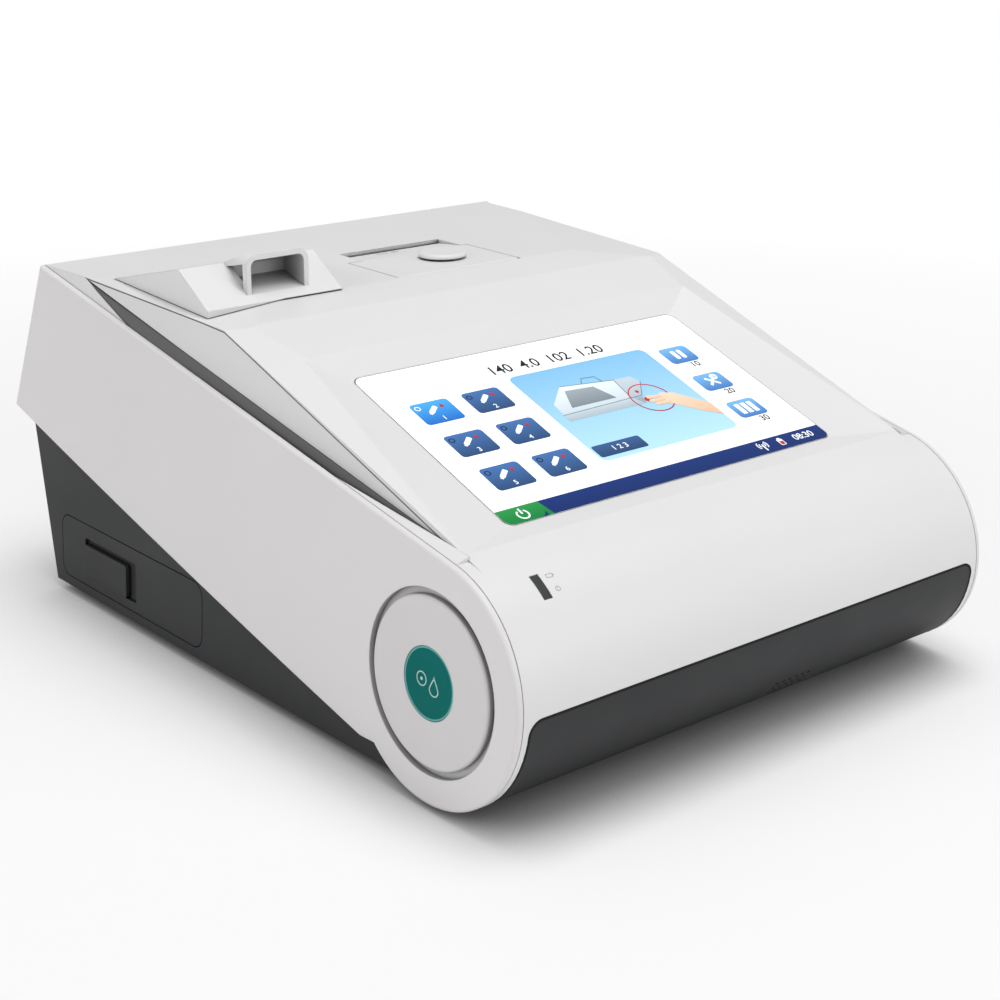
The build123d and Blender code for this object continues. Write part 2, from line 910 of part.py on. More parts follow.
with BuildPart() as side_panel_left:
    add(side_slab(side_outline.sketch, LEFT, 0, panel_thickness))
    outer_face = side_panel_left.faces().sort_by(Axis((0, 0, 0), side_plane(LEFT).z_dir))[-1]
    fillet(outer_face.edges(), edge_softening)
    with BuildSketch(side_plane(LEFT)):
        Circle(seat_radius)
    extrude(amount=-2 * panel_thickness, mode=Mode.SUBTRACT)
side_panel_left.part.label = "side_panel_left"
export_step(side_panel_left.part, "parts/side_panel_left.step")

# Right side panel: the mirror image, with the cartridge port
with BuildPart() as side_panel_right:
    mirror(side_panel_left.part, about=Plane.YZ)
    extrude(port_outline.sketch, amount=body_width, mode=Mode.SUBTRACT)
side_panel_right.part.label = "side_panel_right"
export_step(side_panel_right.part, "parts/side_panel_right.step")


# Dark trim strips in the grooves
def trim_top(side):
    """Sloping face of a trim strip, from behind the side panel up to the plateau"""
    middle_y = (rear_wedge_outer_y + front_wedge_outer_y) / 2
    front_z = height_on_line(surround_start, crease_point, trim_front_y) - trim_front_drop
    return plane_through(
        edge_point(side, middle_y, -trim_outer_drop),
        plateau_point(side, trim_front_y, front_z),
        plateau_point(side, rear_wedge_inner_y, deck_height - trim_rear_drop),
    )


with BuildPart() as side_trim_left:
    extrude(groove_outline.sketch, amount=LEFT * body_width)
    split(bisect_by=side_plane(LEFT, shell_inset), keep=Keep.BOTTOM)
    split(bisect_by=plateau_plane(LEFT), keep=Keep.TOP)
    split(bisect_by=rear_wedge_end(LEFT).offset(-seam), keep=Keep.BOTTOM)
    split(bisect_by=front_wedge_end(LEFT).offset(-seam), keep=Keep.BOTTOM)
    split(bisect_by=trim_top(LEFT), keep=Keep.BOTTOM)
side_trim_left.part.label = "side_trim_left"
export_step(side_trim_left.part, "parts/side_trim_left.step")

with BuildPart() as side_trim_right:
    mirror(side_trim_left.part, about=Plane.YZ)
side_trim_right.part.label = "side_trim_right"
export_step(side_trim_right.part, "parts/side_trim_right.step")

# Front panel, wrapped round the underside of the nose
with BuildPart() as front_panel:
    extrude(front_panel_outline.sketch, amount=body_width, both=True)
    keep_between_sides(front_panel_inset + seam)
    with BuildSketch(Plane.XZ.offset(-nose_y)):
        with Locations((0, nose_z)):
            Rectangle(body_width, 2 * seam)
    extrude(amount=2 * nose_radius, mode=Mode.SUBTRACT)
    fillet(front_panel.edges().group_by(Axis.Z)[-1].sort_by(SortBy.LENGTH)[:2], front_panel_corner)
    with BuildSketch(Plane(
        origin=(speaker_x, *on_nose(speaker_angle)),
        x_dir=(1, 0, 0),
        z_dir=(0, cos(radians(speaker_angle)), sin(radians(speaker_angle))),
    )):
        with GridLocations(speaker_hole_pitch, speaker_hole_pitch, *speaker_holes):
            Circle(speaker_hole_radius)
    extrude(amount=front_panel_thickness * 2, both=True, mode=Mode.SUBTRACT)
front_panel.part.label = "front_panel"
export_step(front_panel.part, "parts/front_panel.step")

# Dark base tray
rear_wall_run = base_rear_top_y - base_rear_bottom_y
rear_wall_rise = waist_rear_height - base_bottom
rear_wall_up = Vector(0, rear_wall_run, rear_wall_rise).normalized()
rear_plane = Plane(
    origin=(0, base_rear_bottom_y, base_bottom),
    x_dir=(-1, 0, 0),
    z_dir=(0, rear_wall_up.Z, -rear_wall_up.Y),
)
tray_nose_radius = nose_radius - front_panel_thickness - gap

with BuildSketch(Plane.YZ) as base_outline:
    with BuildLine():
        Polyline(
            (base_rear_bottom_y, base_bottom),
            (base_rear_top_y, waist_rear_height),
            (waist_front_y, waist_rear_height),
            (nose_y + nose_radius / 2, nose_z),
            (nose_y + base_nose_reach, base_bottom),
            close=True,
        )
    make_face()
    add(offset(side_outline.sketch_local, amount=seam, mode=Mode.PRIVATE), mode=Mode.SUBTRACT)

with BuildSketch(Plane.YZ) as base_inside_outline:
    add(base_outline.sketch_local)
    offset(amount=-base_wall, kind=Kind.INTERSECTION)
    with BuildLine():
        Polyline(
            (base_rear_top_y - 2 * base_wall, waist_rear_height - base_rear_shelf),
            (base_rear_top_y - base_wall - seam, waist_rear_height + base_wall),
            (waist_front_y, waist_rear_height),
            (waist_front_y, base_bottom + base_wall),
            (waist_middle_y, waist_middle[1] - 2 * base_wall),
            close=True,
        )
    make_face()

with BuildPart() as base_inside_form:
    extrude(base_inside_outline.sketch, amount=body_width, both=True)
    keep_between_sides(base_inset + base_wall)

with BuildPart() as nose_tray_form:
    with BuildSketch(Plane.YZ):
        with Locations(nose_centre):
            Circle(tray_nose_radius)
        with Locations((nose_y, nose_z + nose_radius)):
            Rectangle(body_length, 2 * nose_radius + 2 * gap, mode=Mode.SUBTRACT)
        with Locations((nose_y + nose_radius, nose_z)):
            Rectangle(nose_radius, body_length, mode=Mode.SUBTRACT)
    extrude(amount=body_width, both=True)
    keep_between_plateau_sides(wall + gap)

with BuildPart() as nose_tray_inside_form:
    with BuildSketch(Plane.YZ):
        with Locations(nose_centre):
            Circle(tray_nose_radius - base_wall)
        with BuildLine():
            Polyline(
                (nose_y, base_bottom + 2 * base_wall),
                (waist_front_y, base_bottom + base_wall),
                (waist_front_y, nose_z),
                (nose_y, nose_z),
                close=True,
            )
        make_face()
    extrude(amount=body_width, both=True)
    keep_between_plateau_sides(wall + gap + base_wall)

with BuildPart() as nose_web_form:
    with BuildSketch(Plane.YZ):
        side_view_rectangle(
            (nose_y + nose_radius / 2 - base_wall, nose_y + nose_radius / 2),
            (base_bottom, base_bottom + nose_web_height),
        )
    extrude(amount=body_width, both=True)
    keep_between_plateau_sides(wall + gap)

with BuildPart() as base_tray:
    extrude(base_outline.sketch, amount=body_width, both=True)
    keep_between_sides(base_inset)
    add(base_inside_form.part, mode=Mode.SUBTRACT)
    add(nose_tray_form.part)
    add(nose_tray_inside_form.part, mode=Mode.SUBTRACT)
    add(nose_web_form.part)
    # Notch for the scanner's snout in the right end of the nose
    with BuildSketch(side_plane(RIGHT)):
        Circle(scanner_window_radius)
    extrude(amount=-nose_radius / 2, mode=Mode.SUBTRACT)
    # Bosses for the base screws
    for x, y in boss_places:
        with Locations((x, y, base_bottom)):
            Cylinder(boss_radius, boss_top(y) - base_bottom, align=(Align.CENTER, Align.CENTER, Align.MIN))
            Cylinder(
                screw_radius + gap / 2,
                boss_top(y) - base_bottom,
                align=(Align.CENTER, Align.CENTER, Align.MIN),
                mode=Mode.SUBTRACT,
            )
            Cylinder(
                screw_head_radius + gap / 2,
                boss_top(y) - base_bottom - boss_land,
                align=(Align.CENTER, Align.CENTER, Align.MIN),
                mode=Mode.SUBTRACT,
            )
    # Recesses for the feet
    with BuildSketch(Plane.XY.offset(base_bottom)):
        with Locations(*foot_places):
            Circle(foot_radius + seam)
    extrude(amount=foot_recess, mode=Mode.SUBTRACT)
    # Battery bay opening
    with BuildSketch(Plane.YZ.offset(-half_width / 2)):
        side_view_rectangle(widened(drawer_y, drawer_gap), widened(drawer_z, drawer_gap), drawer_corner)
    extrude(amount=-body_width, mode=Mode.SUBTRACT)
    # Openings in the slanted rear wall
    with BuildSketch(rear_plane):
        with Locations((-middle(io_x), io_height)):
            RectangleRounded(io_x[1] - io_x[0] - 2 * io_overlap, io_size - 2 * io_overlap, io_corner)
        with Locations((-fan_x, fan_height)):
            with GridLocations(0, grille_pitch, 1, grille_count):
                SlotOverall(grille_length, grille_slot)
        with Locations((-middle(io_x), io_height)):
            with GridLocations(2 * io_screw_reach[0], 2 * io_screw_reach[1], 2, 2):
                Circle(small_screw_radius + seam)
    extrude(amount=-2 * base_wall, mode=Mode.SUBTRACT)
    # Sound opening behind the speaker holes
    with BuildSketch(Plane(
        origin=(speaker_x, *on_nose(speaker_angle)),
        x_dir=(1, 0, 0),
        z_dir=(0, cos(radians(speaker_angle)), sin(radians(speaker_angle))),
    )):
        Circle(speaker_radius - base_wall)
    extrude(amount=-(front_panel_thickness + 2 * base_wall), mode=Mode.SUBTRACT)
    # Posts under the main board
    with BuildSketch(Plane.XY.offset(base_bottom + base_wall)):
        with Locations((middle(board_x), middle(board_y))):
            with GridLocations(
                board_x[1] - board_x[0] - 2 * board_hole_setback,
                board_y[1] - board_y[0] - 2 * board_hole_setback,
                2,
                2,
            ):
                Circle(board_post_radius)
    extrude(amount=board_bottom - base_bottom - base_wall)
base_tray.part.label = "base_tray"
export_step(base_tray.part, "parts/base_tray.step")

# Four rubber feet
with BuildPart() as rubber_feet:
    with BuildSketch():
        with Locations(*foot_places):
            Circle(foot_radius)
    extrude(amount=base_bottom + foot_recess)
    chamfer(rubber_feet.edges().group_by(Axis.Z)[0], edge_softening)
rubber_feet.part.label = "rubber_feet"
export_step(rubber_feet.part, "parts/rubber_feet.step")

# Screws up through the base into the shell's lugs
with BuildPart() as base_screws:
    for x, y in boss_places:
        with Locations((x, y, boss_top(y) - boss_land)):
            Cylinder(
                screw_radius, lug_height, align=(Align.CENTER, Align.CENTER, Align.MIN)
            )
            Cylinder(
                screw_head_radius, screw_head_height, align=(Align.CENTER, Align.CENTER, Align.MAX)
            )
base_screws.part.label = "base_screws"
export_step(base_screws.part, "parts/base_screws.step")

# Touch glass, its gasket, and the screen behind it
with BuildPart() as touch_glass:
    with BuildSketch(glass_plane):
        RectangleRounded(glass_width, glass_length, glass_corner)
    extrude(amount=-glass_thickness)
touch_glass.part.label = "touch_glass"
export_step(touch_glass.part, "parts/touch_glass.step")

with BuildPart() as display_gasket:
    with BuildSketch(glass_plane.offset(-glass_thickness)):
        RectangleRounded(glass_width, glass_length, glass_corner)
        RectangleRounded(
            glass_width - 2 * glass_rest_width,
            glass_length - 2 * glass_rest_width,
            glass_corner,
            mode=Mode.SUBTRACT,
        )
    extrude(amount=-gasket_thickness)
display_gasket.part.label = "display_gasket"
export_step(display_gasket.part, "parts/display_gasket.step")

lcd_step = glass_rest_width + lcd_margin
with BuildPart() as lcd_panel:
    with BuildSketch(glass_plane.offset(-pan_depth)):
        Rectangle(*lcd_size)
    extrude(amount=-lcd_thickness)
    with BuildSketch(glass_plane.offset(-pan_depth)):
        Rectangle(glass_width - 2 * lcd_step, glass_length - 2 * lcd_step)
    extrude(amount=pan_depth - glass_thickness - gasket_thickness)
lcd_panel.part.label = "lcd_panel"
export_step(lcd_panel.part, "parts/lcd_panel.step")

with BuildPart() as lcd_bracket:
    with BuildSketch(glass_plane.offset(-(pan_depth + lcd_thickness + gap))):
        Rectangle(*bracket_size)
        with GridLocations(*bracket_window_pitch, *bracket_window_count):
            RectangleRounded(*bracket_window_size, glass_corner, mode=Mode.SUBTRACT)
        with GridLocations(*bracket_screw_spacing, 2, 2):
            Circle(small_screw_radius + seam, mode=Mode.SUBTRACT)
    extrude(amount=-bracket_thickness)
lcd_bracket.part.label = "lcd_bracket"
export_step(lcd_bracket.part, "parts/lcd_bracket.step")


# Round discs on the ends of the nose
disc_inner = panel_thickness
with BuildPart() as side_disc_left:
    with BuildSketch(side_plane(LEFT, disc_inner)):
        Circle(disc_radius)
    extrude(amount=disc_inner + disc_proud)
    fillet(side_disc_left.edges().sort_by(Axis((0, 0, 0), side_plane(LEFT).z_dir))[-1], edge_softening)
    with BuildSketch(side_plane(LEFT, -disc_proud)):
        Circle(badge_radius + seam)
    extrude(amount=-badge_recess, mode=Mode.SUBTRACT)
side_disc_left.part.label = "side_disc_left"
export_step(side_disc_left.part, "parts/side_disc_left.step")

with BuildPart() as badge:
    with BuildSketch(side_plane(LEFT, badge_recess - disc_proud)):
        Circle(badge_radius)
    extrude(amount=badge_thickness)
badge.part.label = "badge"
export_step(badge.part, "parts/badge.step")

with BuildPart() as side_disc_right:
    mirror(side_disc_left.part, about=Plane.YZ)
    with BuildSketch(side_plane(RIGHT, -disc_proud)):
        Circle(scanner_window_radius)
    extrude(amount=-2 * panel_thickness, mode=Mode.SUBTRACT)
side_disc_right.part.label = "side_disc_right"
export_step(side_disc_right.part, "parts/side_disc_right.step")

# Scanner behind a dark window in the right disc
with BuildPart() as scanner_window:
    mirror(badge.part, about=Plane.YZ)
scanner_window.part.label = "scanner_window"
export_step(scanner_window.part, "parts/scanner_window.step")

with BuildPart() as scanner_module:
    with BuildSketch(side_plane(RIGHT, panel_thickness + gap)):
        Circle(scanner_window_radius - gap)
    extrude(amount=-scanner_snout)
    with BuildSketch(side_plane(RIGHT, panel_thickness + gap + scanner_snout)):
        Rectangle(scanner_size, scanner_size)
    extrude(amount=-scanner_depth)
    with BuildSketch(side_plane(RIGHT, panel_thickness + gap)):
        Circle(scanner_window_radius - 2 * gap - wall / 2)
    extrude(amount=-scanner_snout / 2, mode=Mode.SUBTRACT)
scanner_module.part.label = "scanner_module"
export_step(scanner_module.part, "parts/scanner_module.step")

# Status light window and its board
with BuildPart() as status_window:
    with BuildSketch(Plane.YZ.offset(status_x[0])):
        nose_band(nose_radius - wall, nose_radius - status_clearance, *status_angles)
    extrude(amount=status_x[1] - status_x[0])
status_window.part.label = "status_window"
export_step(status_window.part, "parts/status_window.step")

with BuildPart() as status_board:
    with BuildSketch(status_plane.offset(-board_thickness)):
        Rectangle(*status_board_size)
    extrude(amount=board_thickness)
    with BuildSketch(status_plane):
        Rectangle(*status_led_size)
    extrude(amount=status_led_height)
status_board.part.label = "status_board"
export_step(status_board.part, "parts/status_board.step")

# Speaker behind the front panel
speaker_plane = Plane(
    origin=(speaker_x, *on_nose(speaker_angle, tray_nose_radius - base_wall - speaker_sagitta)),
    x_dir=(1, 0, 0),
    z_dir=(0, cos(radians(speaker_angle)), sin(radians(speaker_angle))),
)
with BuildPart() as speaker:
    with BuildSketch(speaker_plane):
        Circle(speaker_radius)
    extrude(amount=-speaker_depth)
    with BuildSketch(speaker_plane.offset(-speaker_depth)):
        Circle(speaker_radius / 2)
    extrude(amount=-speaker_depth / 2)
    with BuildSketch(speaker_plane):
        Circle(speaker_radius - base_wall)
    extrude(amount=-speaker_depth / 2, taper=speaker_cone_angle, mode=Mode.SUBTRACT)
speaker.part.label = "speaker"
export_step(speaker.part, "parts/speaker.step")

# Calibrant pack: a wedge cap with a pull hood, over a closed body that drops into its tub
pack_slope_start = (pack_front_y, deck_height + pack_lift)
pack_ridge = (pack_ridge_y, pack_ridge_height)
pack_skirt_z = deck_height - shoulder_drop
hood_mouth_y = hood_front_y - hood_band
hood_mouth_z = height_on_line(pack_slope_start, pack_ridge, hood_mouth_y)
hood_floor_z = height_on_line(pack_slope_start, pack_ridge, hood_front_y)
hood_strap_y = hood_front_y + hood_strap_depth
hood_strap_z = height_on_line(pack_slope_start, pack_ridge, hood_strap_y)
with BuildPart() as roof_under_pack:
    box_between(
        (-body_width, pack_front_y - wall, pack_skirt_z - wall),
        (0, pack_rear_y + wall, deck_height + pack_lift),
    )
    split(bisect_by=deck_shoulder(LEFT).offset(pack_lift), keep=Keep.BOTTOM)

with BuildPart() as pack_cap:
    with BuildSketch(Plane.YZ.offset(pack_x[0])):
        with BuildLine():
            Polyline(
                (pack_front_y, pack_skirt_z),
                pack_slope_start,
                pack_ridge,
                (pack_rear_y, deck_height + pack_lift),
                (pack_rear_y, pack_skirt_z),
                close=True,
            )
        make_face()
    extrude(amount=pack_x[1] - pack_x[0])
    add(roof_under_pack.part, mode=Mode.SUBTRACT)
    with BuildSketch(Plane.YZ.offset(hood_x[0])):
        with BuildLine():
            Polyline(
                (hood_front_y, deck_height + pack_lift),
                (hood_front_y, hood_top),
                (hood_front_y + hood_roof_run, hood_top),
                pack_ridge,
                (pack_ridge_y, deck_height + pack_lift),
                close=True,
            )
        make_face()
    extrude(amount=hood_x[1] - hood_x[0])
    hood_sides = pack_cap.edges().filter_by_position(Axis.Z, hood_top - gap, hood_top + gap)
    fillet(hood_sides.filter_by(Axis.Y), hood_corner)
    with BuildSketch(Plane.YZ.offset(hood_x[0] + hood_band)):
        with BuildLine():
            Polyline(
                (hood_mouth_y, hood_mouth_z),
                (hood_mouth_y, hood_top - hood_band),
                (hood_front_y + hood_roof_run - gap, hood_top - hood_band),
                (hood_well_rear_y, pack_ridge_height - hood_band / 2),
                (hood_well_rear_y, hood_floor_z + hood_floor_rise),
                (hood_front_y, hood_floor_z),
                close=True,
            )
        make_face()
    extrude(amount=hood_x[1] - hood_x[0] - 2 * hood_band, mode=Mode.SUBTRACT)
    # Rounded corners inside the hood, and the opening in its left flank
    mouth_corners = pack_cap.edges().filter_by_position(
        Axis.Z, hood_top - hood_band - seam, hood_top - hood_band + seam
    )
    fillet(mouth_corners.filter_by(Axis.Y), hood_inner_corner)
    with BuildSketch(Plane.YZ.offset(hood_x[0] - seam)):
        with BuildLine():
            Polyline(
                (hood_strap_y, hood_top - hood_corner + hood_band / 2),
                (hood_well_rear_y, pack_ridge_height - hood_band / 2),
                (hood_strap_y, hood_strap_z),
                close=True,
            )
        make_face()
    extrude(amount=hood_band + 2 * seam, mode=Mode.SUBTRACT)
pack_cap.part.label = "pack_cap"
export_step(pack_cap.part, "parts/pack_cap.step")

with BuildPart() as pack_body:
    box_between(
        (pack_body_x[0], pack_body_y[0], pack_bottom),
        (pack_body_x[1], pack_body_y[1], deck_height + pack_lift),
    )
    fillet(pack_body.edges().filter_by(Axis.Z), edge_softening)
    box_between(
        (
            pack_body_x[0] + pack_wall,
            pack_body_y[0] + pack_wall,
            pack_bottom + pack_socket_height + pack_wall,
        ),
        (pack_body_x[1] - pack_wall, pack_body_y[1] - pack_wall, pack_skirt_z - pack_wall),
        mode=Mode.SUBTRACT,
    )
    for x in probe_xs:
        with Locations((x, probe_y, pack_bottom)):
            Cylinder(
                seal_radius,
                pack_socket_height,
                align=(Align.CENTER, Align.CENTER, Align.MIN),
                mode=Mode.SUBTRACT,
            )
    split(bisect_by=deck_shoulder(LEFT).offset(pack_lift), keep=Keep.BOTTOM)
pack_body.part.label = "pack_body"
export_step(pack_body.part, "parts/pack_body.step")

with BuildPart() as pack_seals:
    with BuildSketch(Plane.XY.offset(pack_bottom)):
        with Locations(*[(x, probe_y) for x in probe_xs]):
            Circle(seal_radius)
            Circle(probe_radius + running_gap, mode=Mode.SUBTRACT)
    extrude(amount=seal_height)
pack_seals.part.label = "pack_seals"
export_step(pack_seals.part, "parts/pack_seals.step")

# Tub that the pack drops into, hung from the deck, with probes in its floor
tub_x = widened(pack_body_x, gap + tub_wall)
tub_y = widened(pack_body_y, gap + tub_wall)
tub_top = deck_height - wall
tub_bottom = pack_bottom - gap - tub_floor
with BuildPart() as pack_tub:
    box_between((tub_x[0], tub_y[0], tub_bottom), (tub_x[1], tub_y[1], tub_top))
    box_between(
        (tub_x[0] + tub_wall, tub_y[0] + tub_wall, tub_bottom + tub_floor),
        (tub_x[1] - tub_wall, tub_y[1] - tub_wall, tub_top),
        mode=Mode.SUBTRACT,
    )
    with BuildSketch(Plane.XY.offset(tub_bottom)):
        with Locations(*[(x, probe_y) for x in probe_xs]):
            Circle(probe_radius)
    extrude(amount=tub_floor, mode=Mode.SUBTRACT)
    split(bisect_by=deck_shoulder(LEFT).offset(-wall), keep=Keep.BOTTOM)
pack_tub.part.label = "pack_tub"
export_step(pack_tub.part, "parts/pack_tub.step")

with BuildPart() as fluid_probes:
    with BuildSketch(Plane.XY.offset(probe_reach[0])):
        with Locations(*[(x, probe_y) for x in probe_xs]):
            Circle(probe_radius)
            Circle(probe_radius / 2, mode=Mode.SUBTRACT)
    extrude(amount=probe_reach[1] - probe_reach[0])
fluid_probes.part.label = "fluid_probes"
export_step(fluid_probes.part, "parts/fluid_probes.step")

# Printer door, level with the deck, hinged along its front edge
lip_end_y = slot_rear_y - slot_gap
platen_x = (slot_x[0] + ear_thickness + gap, slot_x[1] - ear_thickness - gap)
with BuildPart() as printer_door:
    with BuildSketch(Plane.YZ.offset(door_x[0])):
        with BuildLine():
            Polyline(
                (door_pin_y, deck_height),
                (door_rear_y, deck_height),
                (door_rear_y, deck_height - door_thickness),
                (door_pin_y, deck_height - door_thickness),
                close=True,
            )
        make_face()
        with Locations((door_pin_y, door_pin_z)):
            Circle(door_barrel_radius)
    extrude(amount=door_x[1] - door_x[0])
    with BuildSketch(Plane.YZ.offset(slot_x[0])):
        with BuildLine():
            Polyline(
                (door_rear_y, deck_height),
                (lip_end_y, deck_height - slot_lip_drop),
                (lip_end_y, deck_height - slot_lip_drop - door_thickness / 2),
                (door_rear_y, deck_height - door_thickness - gap),
                (door_rear_y - door_thickness, deck_height - door_thickness),
                (door_rear_y - door_thickness, deck_height),
                close=True,
            )
        make_face()
    extrude(amount=slot_x[1] - slot_x[0])
    for ear_x in (slot_x[0], slot_x[1] - ear_thickness):
        with BuildSketch(Plane.YZ.offset(ear_x)):
            with BuildLine():
                Polyline(
                    (platen_y - ear_front_reach, deck_height - door_thickness),
                    (platen_y + platen_radius, deck_height - door_thickness - gap),
                    (platen_y + platen_radius, platen_z),
                    (platen_y, platen_z - platen_radius),
                    (platen_y - platen_radius, platen_z),
                    close=True,
                )
            make_face()
            with Locations((platen_y, platen_z)):
                Circle(platen_shaft_radius + running_gap, mode=Mode.SUBTRACT)
        extrude(amount=ear_thickness)
    with BuildSketch(Plane.YZ.offset(door_x[0])):
        with Locations((door_pin_y, door_pin_z)):
            Circle(door_pin_radius)
    extrude(amount=door_x[1] - door_x[0], mode=Mode.SUBTRACT)
    # Thumb lobe, undercut along its front left edge
    with BuildSketch(Plane.XY.offset(deck_height)):
        with Locations(lobe_centre):
            Ellipse(*lobe_size)
    extrude(amount=lobe_height)
    fillet(printer_door.edges().group_by(Axis.Z)[-1], lobe_height - lobe_scoop_height - gap)
    with BuildSketch(Plane.XY.offset(deck_height)):
        with Locations(lobe_centre):
            Ellipse(lobe_size[0] + seam, lobe_size[1] + seam)
        with Locations((lobe_centre[0] + lobe_scoop_shift, lobe_centre[1] + lobe_scoop_shift)):
            Ellipse(*lobe_size, mode=Mode.SUBTRACT)
    extrude(amount=lobe_scoop_height, mode=Mode.SUBTRACT)
printer_door.part.label = "printer_door"
export_step(printer_door.part, "parts/printer_door.step")

with BuildPart() as printer_door_pin:
    with BuildSketch(Plane.YZ.offset(door_x[0] - pin_reach)):
        with Locations((door_pin_y, door_pin_z)):
            Circle(door_pin_radius)
    extrude(amount=door_x[1] - door_x[0] + 2 * pin_reach)
printer_door_pin.part.label = "printer_door_pin"
export_step(printer_door_pin.part, "parts/printer_door_pin.step")

# Rubber platen roller, carried by the door
with BuildPart() as platen_roller:
    with BuildSketch(Plane.YZ.offset(platen_x[0])):
        with Locations((platen_y, platen_z)):
            Circle(platen_radius)
    extrude(amount=platen_x[1] - platen_x[0])
    with BuildSketch(Plane.YZ.offset(slot_x[0])):
        with Locations((platen_y, platen_z)):
            Circle(platen_shaft_radius)
    extrude(amount=slot_x[1] - slot_x[0])
platen_roller.part.label = "platen_roller"
export_step(platen_roller.part, "parts/platen_roller.step")

# Paper roll on its core, lying in the printer's trough
with BuildPart() as paper_roll:
    with BuildSketch(Plane.YZ.offset(roll_x[0])):
        with Locations((roll_y, roll_z)):
            Circle(roll_radius)
            Circle(roll_core_radius, mode=Mode.SUBTRACT)
    extrude(amount=roll_x[1] - roll_x[0])
paper_roll.part.label = "paper_roll"
export_step(paper_roll.part, "parts/paper_roll.step")

with BuildPart() as paper_core:
    with BuildSketch(Plane.YZ.offset(roll_x[0])):
        with Locations((roll_y, roll_z)):
            Circle(roll_core_radius)
            Circle(roll_core_bore, mode=Mode.SUBTRACT)
    extrude(amount=roll_x[1] - roll_x[0])
paper_core.part.label = "paper_core"
export_step(paper_core.part, "parts/paper_core.step")

with BuildPart() as printer_frame:
    box_between(
        (printer_x[0], printer_y[0], printer_floor),
        (printer_x[1], printer_y[1], tub_top),
    )
    box_between(
        (printer_x[0] + printer_wall, printer_y[0] + printer_wall, printer_floor + printer_wall),
        (printer_x[1] - printer_wall, printer_y[1] - printer_wall, tub_top),
        mode=Mode.SUBTRACT,
    )
    box_between(
        (printer_x[0], printer_y[0], tub_top - gap),
        (printer_x[1], slot_rear_y, tub_top),
        mode=Mode.SUBTRACT,
    )
    box_between(
        (printer_x[0], printer_y[0], door_pin_z - door_barrel_radius - gap),
        (printer_x[1], printer_y[0] + printer_wall, tub_top),
        mode=Mode.SUBTRACT,
    )
printer_frame.part.label = "printer_frame"
export_step(printer_frame.part, "parts/printer_frame.step")

with BuildPart() as print_head:
    head_front = platen_y + platen_radius + head_gap
    box_between(
        (platen_x[0], head_front, head_z[0]),
        (platen_x[1], head_front + head_thickness, head_z[1]),
    )
    box_between(
        (middle(platen_x) - head_bracket / 2, head_front + head_thickness, head_z[0]),
        (middle(platen_x) + head_bracket / 2, printer_y[1] - printer_wall, head_z[1]),
    )
print_head.part.label = "print_head"
export_step(print_head.part, "parts/print_head.step")

with BuildPart() as tear_bar:
    box_between(
        (slot_x[0], slot_rear_y - tear_thickness, deck_height - wall),
        (slot_x[1], slot_rear_y, deck_height - seam),
    )
tear_bar.part.label = "tear_bar"
export_step(tear_bar.part, "parts/tear_bar.step")

# Battery drawer: front plate in the base's side, tray, pack and latch
with BuildSketch(Plane.YZ) as drawer_outline:
    side_view_rectangle(drawer_y, drawer_z, drawer_corner - drawer_gap)

with BuildSketch(Plane.YZ) as latch_pocket_outline:
    side_view_rectangle(
        (latch_y[0] - latch_travel - latch_pocket_margin, latch_y[1] + gap),
        (latch_z[0] - gap, latch_z[1] + latch_pocket_margin),
        edge_softening,
    )

with BuildSketch(Plane.YZ) as latch_outline:
    side_view_rectangle(latch_y, latch_z, edge_softening)

stem_y = (middle(latch_y) - latch_stem / 2, middle(latch_y) + latch_stem / 2)
stem_z = (middle(latch_z) - latch_stem / 2, middle(latch_z) + latch_stem / 2)
head_y = (middle(latch_y) - latch_head / 2, middle(latch_y) + latch_head / 2)
head_range_z = (middle(latch_z) - latch_head / 2, middle(latch_z) + latch_head / 2)
with BuildSketch(Plane.YZ) as stem_outline:
    side_view_rectangle(stem_y, stem_z)

with BuildSketch(Plane.YZ) as stem_slot_outline:
    side_view_rectangle((stem_y[0] - latch_travel - gap, stem_y[1] + gap), widened(stem_z, gap))

with BuildSketch(Plane.YZ) as stem_head_outline:
    side_view_rectangle(head_y, head_range_z)

with BuildPart() as battery_drawer_front:
    add(side_slab(drawer_outline.sketch, LEFT, base_inset, base_inset + drawer_plate))
    add(
        side_slab(latch_pocket_outline.sketch, LEFT, 0, base_inset + latch_pocket_depth),
        mode=Mode.SUBTRACT,
    )
    add(
        side_slab(stem_slot_outline.sketch, LEFT, 0, base_inset + 2 * drawer_plate),
        mode=Mode.SUBTRACT,
    )
battery_drawer_front.part.label = "battery_drawer_front"
export_step(battery_drawer_front.part, "parts/battery_drawer_front.step")

latch_inner = base_inset + latch_pocket_depth - gap
with BuildPart() as drawer_latch:
    add(side_slab(latch_outline.sketch, LEFT, base_inset - latch_proud, latch_inner))
    add(side_slab(stem_outline.sketch, LEFT, latch_inner, base_inset + drawer_plate + gap))
    add(
        side_slab(
            stem_head_outline.sketch,
            LEFT,
            base_inset + drawer_plate + gap,
            base_inset + drawer_plate + gap + edge_softening,
        )
    )
drawer_latch.part.label = "drawer_latch"
export_step(drawer_latch.part, "parts/drawer_latch.step")

